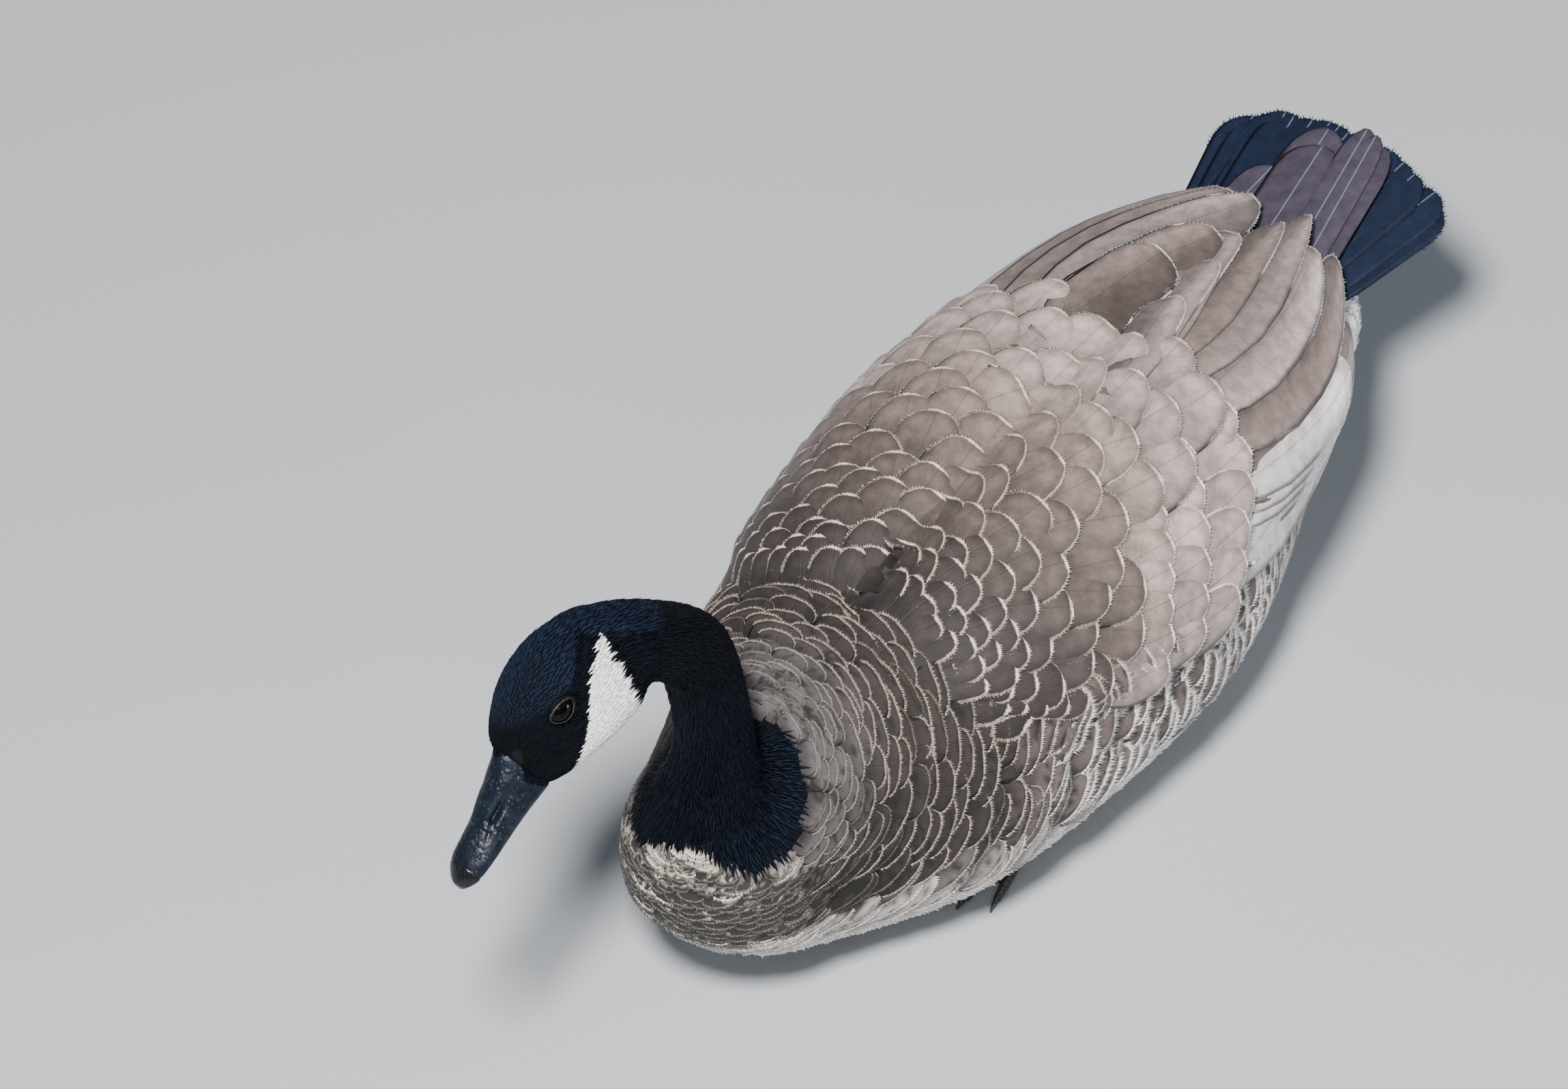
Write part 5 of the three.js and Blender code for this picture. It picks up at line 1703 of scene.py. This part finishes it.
# Shoulder feathers and coverts by their tips. Each row: Y, a, length, degrees outward, width
SHOULDER_LEFT = [
    (84, 0.33, 70, 32, 50), (114, 0.35, 66, 18, 48), (139, 0.43, 66, 16, 48), (123, 0.32, 64, 12, 44),
    (46, 0.48, 60, 32, 46), (49, 0.20, 60, 24, 46), (26, 0.38, 56, 30, 44), (16, 0.42, 54, 33, 42),
    (11, 0.64, 54, 40, 44), (28, 0.70, 56, 36, 44), (-14, 0.24, 50, 24, 40), (-22, 0.51, 50, 34, 40),
    (-10, 0.60, 50, 37, 41), (-31, 0.67, 48, 38, 39), (-17, 0.80, 48, 36, 40), (-2, 0.81, 50, 34, 41),
    (-54, 0.69, 46, 36, 37), (-38, 0.83, 46, 34, 38),
]
SHOULDER_RIGHT = [
    (78, 0.04, 64, -30, 54), (36, 0.03, 56, 6, 44), (98, 0.10, 60, 4, 44), (130, 0.13, 60, 4, 44),
    (134, 0.19, 60, 6, 44), (123, 0.03, 58, 0, 42), (66, 0.28, 60, 24, 48), (96, 0.34, 62, 20, 48),
    (128, 0.40, 62, 14, 46), (40, 0.46, 58, 30, 46), (8, 0.20, 52, 24, 42),
]
COVERTS = [
    (76, 0.46, 54, 10, 34), (64, 0.54, 52, 12, 33), (55, 0.64, 52, 12, 33), (46, 0.71, 50, 12, 32),
    (37, 0.79, 48, 12, 32), (30, 0.88, 48, 10, 31), (22, 0.96, 46, 8, 30),
    (101, 0.48, 66, 9, 36), (91, 0.58, 64, 10, 35), (79, 0.68, 62, 10, 35), (68, 0.77, 60, 10, 34),
    (58, 0.85, 58, 9, 33), (50, 0.93, 56, 8, 32),
    (137, 0.51, 78, 8, 38), (128, 0.64, 76, 9, 38), (117, 0.73, 74, 9, 37), (102, 0.80, 72, 9, 36),
    (90, 0.88, 70, 8, 35), (78, 0.95, 68, 7, 34),
]
# Long inner feathers, lowest first. Each row: root's Y and a, tip's Y and a, width
TERTIALS_LEFT = [
    (96, 0.03, 258, 0.05, 48), (88, 0.62, 243, 1.03, 44), (104, 0.50, 270, 0.80, 46), (112, 0.38, 262, 0.54, 46),
    (120, 0.26, 283, 0.31, 44), (122, 0.20, 268, 0.13, 40), (110, 0.20, 245, -0.02, 34), (96, 0.16, 216, 0.04, 34),
    (96, 0.18, 176, 0.07, 30),
]
TERTIALS_RIGHT = [
    (90, 0.04, 250, 0.06, 48), (88, 0.62, 240, 1.02, 44), (100, 0.46, 258, 0.74, 46), (104, 0.38, 273, 0.50, 46),
    (114, 0.30, 272, 0.34, 44), (122, 0.20, 277, 0.15, 50), (96, 0.16, 238, 0.05, 42), (110, 0.10, 202, 0.09, 44),
]
# Feathers that close the sheet under the long ones, and the pale ones along the wing's lower edge
UNDER = [
    (70, 0.90, 214, 0.98, 40), (70, 0.76, 226, 0.90, 44), (70, 0.60, 240, 0.74, 48), (72, 0.44, 250, 0.52, 50),
    (72, 0.28, 252, 0.30, 50), (72, 0.14, 246, 0.12, 48), (70, 0.03, 232, 0.01, 46),
]
SECONDARIES = [
    (98, 0.68, 222, 1.0, 30), (94, 0.72, 207, 0.99, 30), (90, 0.76, 194, 0.98, 29), (84, 0.80, 182, 0.97, 29),
    (76, 0.84, 169, 0.98, 28),
]


SHOULDER_TRIES = 9000


def shoulder_rows(listed, seed):
    """The listed shoulder feathers and as many more as cover the shoulder between them."""
    chance = np.random.default_rng(seed)
    y, a = chance.uniform(-76, 150, SHOULDER_TRIES), chance.uniform(0.0, 0.95, SHOULDER_TRIES)
    inside = a < np.interp(y, [-76, -40, 0, 30, 60, 100, 150], [0.95, 0.95, 0.9, 0.74, 0.52, 0.5, 0.46])
    inside &= y > np.interp(a, [0, 0.3, 0.7, 1], [-46, -62, -72, -70])
    y, a = y[inside], a[inside]
    turn = (8 + 34 * a) * (1 - 0.75 * smooth_step(40, 140, y)) + chance.normal(0, 3, len(y))
    length = np.interp(y, [-72, -40, 0, 80, 148], [34, 42, 52, 62, 66])
    width = np.interp(y, [-72, -40, 0, 80, 148], [27, 33, 41, 48, 46])
    rows = np.vstack([np.array(listed, float), np.stack([y, a, length, turn, width], -1)])
    place = wing_point(rows[:, 0], rows[:, 1], 0 * rows[:, 0])
    gap = np.interp(rows[:, 0], [-72, -40, 0, 60, 140], [9.5, 12.5, 16.5, 20, 22])
    return rows[spaced(place, gap, 30.0)]


VANE_SHARES = np.array([0, 0.12, 0.25, 0.4, 0.55, 0.68, 0.78, 0.86, 0.92, 0.96, 0.985, 1.0])
VANE_COLUMNS = np.array([-1, -0.82, -0.6, -0.36, -0.14, 0, 0.14, 0.36, 0.6, 0.82, 1.0])


def outward_rows(rows, side):
    """Roots and tips as (y, a) from rows of tip, length, degrees outward and width, for one side."""
    rows = np.array(rows, float)
    tip = rows[:, :2]
    turn = np.radians(rows[:, 3])
    breadth = wing_frame(tip[:, 0] - rows[:, 2] / 2, tip[:, 1])[2]
    root = tip - np.stack([rows[:, 2] * np.cos(turn), rows[:, 2] * np.sin(turn) / breadth], -1)
    root[:, 1] = np.maximum(root[:, 1], 0.01)
    return root * [1, side], tip * [1, side], rows[:, 4]


def straight_rows(rows, side):
    rows = np.array(rows, float)
    return rows[:, 0:2] * [1, side], rows[:, 2:4] * [1, side], rows[:, 4]


class Atlas:
    """Square cells for the bake map of a piece's large vanes."""

    def __init__(self, across):
        self.across, self.next, self.patch = across, 0, 1 / across * 0.88

    def take(self, count):
        index = self.next + np.arange(count)
        self.next += count
        size = 1 / self.across
        return np.stack([index % self.across, index // self.across], -1) * size + size * 0.06


def lay_vanes(coat, atlas, root, tip, width, level, tip_level, colour, edging, rim_width, seed, tilt=0.0,
              camber=0.5, square=0.78, barbs=40, barb_reach=1.3, tip_share=0.3, overlap_shade=0.0, shaded_root_share=0.6,
              on_skin=False):
    """Large vanes on the wings' sheet or the skin, rising evenly from level at the root to tip_level, with painted
    shade towards the root.
    """
    chance = np.random.default_rng(seed)
    sheet, length = wing_surface(root, tip)

    def surface(along, across):
        place, normal = sheet(along, across)
        return ground.nearest(place) if on_skin else (place, normal)

    count = len(length)
    level = np.broadcast_to(level, count)[:, None, None]
    rise = np.broadcast_to(tip_level, count)[:, None, None] - level
    lean = (chance.uniform(-0.15, 0.15, count) + np.broadcast_to(tilt, count))[:, None, None]

    def height(share, side):
        return level + rise * share + lean * side - camber * side**2 * smooth_step(0, 0.4, share)

    # Painted shade across each vane: darkest towards the side that the next feather overlaps, as if in its shadow
    across = 1 - abs(overlap_shade) * fade(-0.4, 0.8, VANE_COLUMNS * np.sign(overlap_shade))
    colour = shaded(colour, chance, 0.09)[:, None, None] * across[None, None, :, None]
    points, up, vane, bake = add_vanes(
        coat, surface, VANE_SHARES, VANE_COLUMNS, length, width, square, height, colour,
        shaded(edging, chance, 0.05), rim_width, chance, atlas.take(count), atlas.patch, tip_share, shaded_root_share,
    )
    add_barbs(coat, points, up, vane, bake, barbs, np.full(count, barb_reach), np.full(count, 0.7),
              edging, chance, 5, raise_share=0.1)


def repeated(colour, count):
    return np.tile(np.asarray(colour), (count, 1))


def shoulder_tint(tip, chance):
    """The shoulders' colours: browner and darker to the front, paler and greyer to the rear."""
    colour = mixed(BROWN_DARK * 1.3, TAUPE, smooth_step(-60, 150, tip[:, 0]))
    colour = mixed(colour, TAUPE_PALE * 0.9, 0.6 * smooth_step(50, 150, tip[:, 0]))
    return colour * (1 + chance.uniform(-0.12, 0.12, (len(tip), 1)))


def wing_feathers(name, side, seed, tertials, shoulder):
    """A folded wing: under feathers, pale secondaries, tertials, coverts and shoulders, lowest first."""
    coat, atlas = Coat(), Atlas(13)
    chance = np.random.default_rng(seed)

    root, tip, width = straight_rows(UNDER, side)
    outer = smooth_step(0.55, 0.8, np.abs(tip[:, 1]))
    colour = mixed(repeated(TAUPE * 0.8, len(root)), PALE_GREY * 0.9, outer)
    level = -7.4 + np.linspace(0, 1.4, len(root))
    lay_vanes(coat, atlas, root, tip, width, level, -5.8, colour, colour, 2.0, seed + 9, barbs=20)
    root, tip, width = straight_rows(SECONDARIES, side)
    level = np.linspace(-5.4, -7.8, len(root))
    lay_vanes(coat, atlas, root, tip, width, level - 1, level + 1.4, repeated(PALE_GREY, len(root)),
              repeated(BELLY_WHITE, len(root)), 2.0, seed + 2, tilt=0.7 * side, square=0.86)
    root, tip, width = straight_rows(tertials, side)
    order = np.linspace(0, 1, len(root))
    colour = mixed(repeated(TAUPE_PALE, len(root)), TAUPE * 0.9, chance.uniform(0, 1, len(root)))
    level = blend(-5.6, 0.2, order)
    # Tertials, with painted shade on the half that the next one overlaps
    lay_vanes(coat, atlas, root, tip, width, level - 1.6, level, colour, repeated(PALE_GREY, len(root)), 1.3, seed + 3,
              tilt=0.5 * side, camber=0.4, square=0.74, overlap_shade=0.66 * side)
    root, tip, width = outward_rows(COVERTS, side)
    level = np.interp(tip[:, 0], [22, 60, 100, 140], [-1.2, -1.0, -1.6, -2.4])
    tone = chance.uniform(0, 0.7, len(root))
    lay_vanes(coat, atlas, root, tip, width, level - 4.2, level, mixed(repeated(TAUPE, len(root)), TAUPE_PALE, tone),
              repeated(FRINGE_WHITE * 0.9, len(root)), 1.3, seed + 4, tilt=0.35 * side, camber=0.3, square=0.55,
              barbs=30, barb_reach=1.5)
    root, tip, width = outward_rows(shoulder_rows(shoulder, seed + 7), side)
    level = np.interp(root[:, 0], [-110, -60, 0, 60], [-0.4, 0.2, 1.8, 2.6])
    tip_level = np.interp(tip[:, 0], [-70, -40, 0, 60, 140], [4.4, 5.4, 7.0, 7.8, 8.4])
    colour = shoulder_tint(tip, chance)
    tilt = chance.normal(0.55 * side, 0.25, len(root))
    # Shoulders, with stronger painted shade towards their roots
    lay_vanes(coat, atlas, root, tip, width, level, tip_level, colour, repeated(BUFF, len(root)), 1.45, seed + 5,
              tilt=tilt, camber=0.9, square=0.46, barbs=44, barb_reach=1.5, tip_share=0.2, shaded_root_share=0.5,
              on_skin=True)
    coat.made(name, FEATHER_WING, "wing_feather", [name.replace("feathers", "").strip("_")])


TAIL_PIVOT = (2, 113)
TAIL_SPREAD, TAIL_HEIGHT, TAIL_RISE = 15.2, 148.5, 0.1
TAIL_COUNT, TAIL_TOP, TAIL_ROOT = 16, 7, 117
TAIL_LEVEL = 0.75
TAIL_MIDDLE, TAIL_OUTER = 238, 231


def tail_surface(angle):
    """A surface for add_vanes that fans out from the tail's pivot."""
    turn = np.radians(angle)[:, None, None]

    def surface(along, across):
        along = along + TAIL_ROOT
        x = TAIL_PIVOT[0] + along * np.sin(turn) + across * np.cos(turn)
        y = TAIL_PIVOT[1] + along * np.cos(turn) - across * np.sin(turn)
        place = np.stack([x, y, TAIL_HEIGHT + TAIL_RISE * along], -1)
        return place, np.broadcast_to(unit(np.array([0, -TAIL_RISE, 1.0])), place.shape)

    return surface


def tail_feathers():
    """The black tail's fan: the middle feather highest, the outer ones under it in turn."""
    coat, atlas = Coat(), Atlas(6)
    chance = np.random.default_rng(21)
    index = np.arange(TAIL_COUNT)
    share = index / (TAIL_COUNT - 1)
    angle = blend(-TAIL_SPREAD, TAIL_SPREAD, share) + chance.uniform(-0.5, 0.5, TAIL_COUNT)
    out = np.abs(2 * share - 1)
    length = blend(TAIL_MIDDLE, TAIL_OUTER, out**2) + chance.uniform(-3.5, 2, TAIL_COUNT) - TAIL_ROOT
    level = (-TAIL_LEVEL * np.abs(index - TAIL_TOP))[:, None, None]
    lean = np.sign(index - TAIL_TOP)[:, None, None] * -0.35
    width = np.full(TAIL_COUNT, 33.0)

    def height(along, side):
        return level - 2 * fade(0, 0.4, along) - 0.9 * side**2 + lean * side

    colour = shaded(repeated(TAIL_BLACK, TAIL_COUNT), chance, 0.15)
    edging = shaded(repeated(TAIL_BLACK * 1.3, TAIL_COUNT), chance, 0.12)
    points, up, vane, bake = add_vanes(
        coat, tail_surface(angle), VANE_SHARES, VANE_COLUMNS, length, width, 0.80, height, colour, edging,
        1.2, chance, atlas.take(TAIL_COUNT), atlas.patch, 0.3,
    )
    add_barbs(coat, points, up, vane, bake, 44, np.full(TAIL_COUNT, 2.2), np.full(TAIL_COUNT, 1.0), colour,
              chance, 6, raise_share=0.05)
    coat.made("tail_feathers", FEATHER_TAIL, "tail_feather", ["tail"])


# Primaries that lie over the tail, lowest first. Each row: root's X and Y, tip's X and Y, width, height
PRIMARIES = [
    (10, 190, -13, 343, 34, 2.2), (-30, 200, -24, 308, 26, 1.4), (12, 190, -8, 331, 38, 3.6),
    (46, 196, 20, 346, 20, 3.2), (36, 190, 6, 352, 19, 4.4), (44, 196, 13, 350, 17, 5.2),
]


def primary_feathers():
    """The long dark wing tips over the tail."""
    coat, atlas = Coat(), Atlas(4)
    chance = np.random.default_rng(23)
    rows = np.array(PRIMARIES, float)
    root, tip = rows[:, :2], rows[:, 2:4]
    length = np.hypot(*(tip - root).T)
    forward = (tip - root) / length[:, None]
    count = len(rows)

    def surface(along, across):
        x = root[:, 0, None, None] + along * forward[:, 0, None, None] + across * forward[:, 1, None, None]
        y = root[:, 1, None, None] + along * forward[:, 1, None, None] - across * forward[:, 0, None, None]
        place = np.stack([x, y, TAIL_HEIGHT + TAIL_RISE * (y - TAIL_PIVOT[1])], -1)
        return place, np.broadcast_to(unit(np.array([0, -TAIL_RISE, 1.0])), place.shape)

    def height(share, side):
        return rows[:, 5, None, None] - 1.6 * side**2

    colour = shaded(repeated(PRIMARY_BROWN, count), chance, 0.1)
    points, up, vane, bake = add_vanes(
        coat, surface, VANE_SHARES, VANE_COLUMNS, length, rows[:, 4], 0.84, height, colour,
        repeated(PRIMARY_BROWN * 1.5, count), 1.0, chance, atlas.take(count), atlas.patch, 0.3,
    )
    add_barbs(coat, points, up, vane, bake, 44, np.full(count, 0.9), np.full(count, 0.8), colour, chance, 5,
              raise_share=0.05)
    coat.made("primary_feathers", FEATHER_TAIL, "wing_feather")


wing_feathers("wing_left_feathers", 1, 40, TERTIALS_LEFT, SHOULDER_LEFT)
wing_feathers("wing_right_feathers", -1, 60, TERTIALS_RIGHT, SHOULDER_RIGHT)
tail_feathers()
primary_feathers()


# Stage

# Degrees round from the bird's front to its left, degrees over the floor, and roll
CAMERA_ANGLES = (44.936, 47.395, 8.479)
# A place in millimetres, and the metres away from it
CAMERA_TARGET, CAMERA_AWAY = (-117.1, 1.2, 100), 3.935
# Focal length and picture in pixels, and the sensor in millimetres
FOCAL_PIXELS, PHOTO_WIDTH, SENSOR_WIDTH = 11152, 2298, 36
# Metres
FLOOR_HALF = 6
MIDDLE_PLACE, HEAD_PLACE = (0, 0, 0.15), (-0.005, -0.27, 0.305)


def photo_camera():
    """The camera of the photo, high over the bird's front left."""
    azimuth, elevation, roll = (math.radians(angle) for angle in CAMERA_ANGLES)
    back = Vector(
        (math.sin(azimuth) * math.cos(elevation), -math.cos(azimuth) * math.cos(elevation), math.sin(elevation))
    )
    level = Vector((math.cos(azimuth), math.sin(azimuth), 0))
    upright = back.cross(level)
    right = level * math.cos(roll) - upright * math.sin(roll)
    up = level * math.sin(roll) + upright * math.cos(roll)
    target = Vector(to_metres(CAMERA_TARGET))
    data = bpy.data.cameras.new("camera")
    data.sensor_width = SENSOR_WIDTH
    data.lens = FOCAL_PIXELS * SENSOR_WIDTH / PHOTO_WIDTH
    data.clip_start, data.clip_end = 0.05, 50
    camera = bpy.data.objects.new("camera", data)
    axes = Matrix((right, up, back)).transposed().to_4x4()
    camera.matrix_world = Matrix.Translation(target + back * CAMERA_AWAY) @ axes
    bpy.context.scene.collection.objects.link(camera)
    bpy.context.scene.camera = camera


def pale_floor():
    corners = np.array([[-1, -1, 0], [1, -1, 0], [1, 1, 0], [-1, 1, 0]]) * FLOOR_HALF
    floor = mesh_object("floor", corners, [[0, 1, 2, 3]])
    n = Nodes("studio_floor")
    floor.data.materials.append(n.end((0.4, 0.42, 0.44), None, 0.9))


def soft_light(name, place, size, power, colour, towards=MIDDLE_PLACE):
    data = bpy.data.lights.new(name, "AREA")
    data.shape, data.size, data.energy, data.color = "DISK", size, power, colour
    light = bpy.data.objects.new(name, data)
    light.location = place
    light.rotation_euler = (Vector(towards) - Vector(place)).to_track_quat("-Z", "Y").to_euler()
    bpy.context.scene.collection.objects.link(light)


def studio():
    pale_floor()
    soft_light("key", (0.9, -1.3, 2.8), size=0.5, power=245, colour=(1.0, 0.98, 0.965))
    soft_light("fill", (2.6, -1.4, 2.2), size=1.0, power=12, colour=(0.92, 0.96, 1.0))
    soft_light("glint", (1.72, 1.12, 0.14), size=0.68, power=22, colour=(0.88, 0.94, 1.0), towards=HEAD_PLACE)
    world = bpy.data.worlds.new("studio")
    world.use_nodes = True
    sky = world.node_tree.nodes["Background"].inputs
    sky["Color"].default_value = (0.80, 0.88, 1.0, 1)
    sky["Strength"].default_value = 0.27
    bpy.context.scene.world = world


photo_camera()
studio()
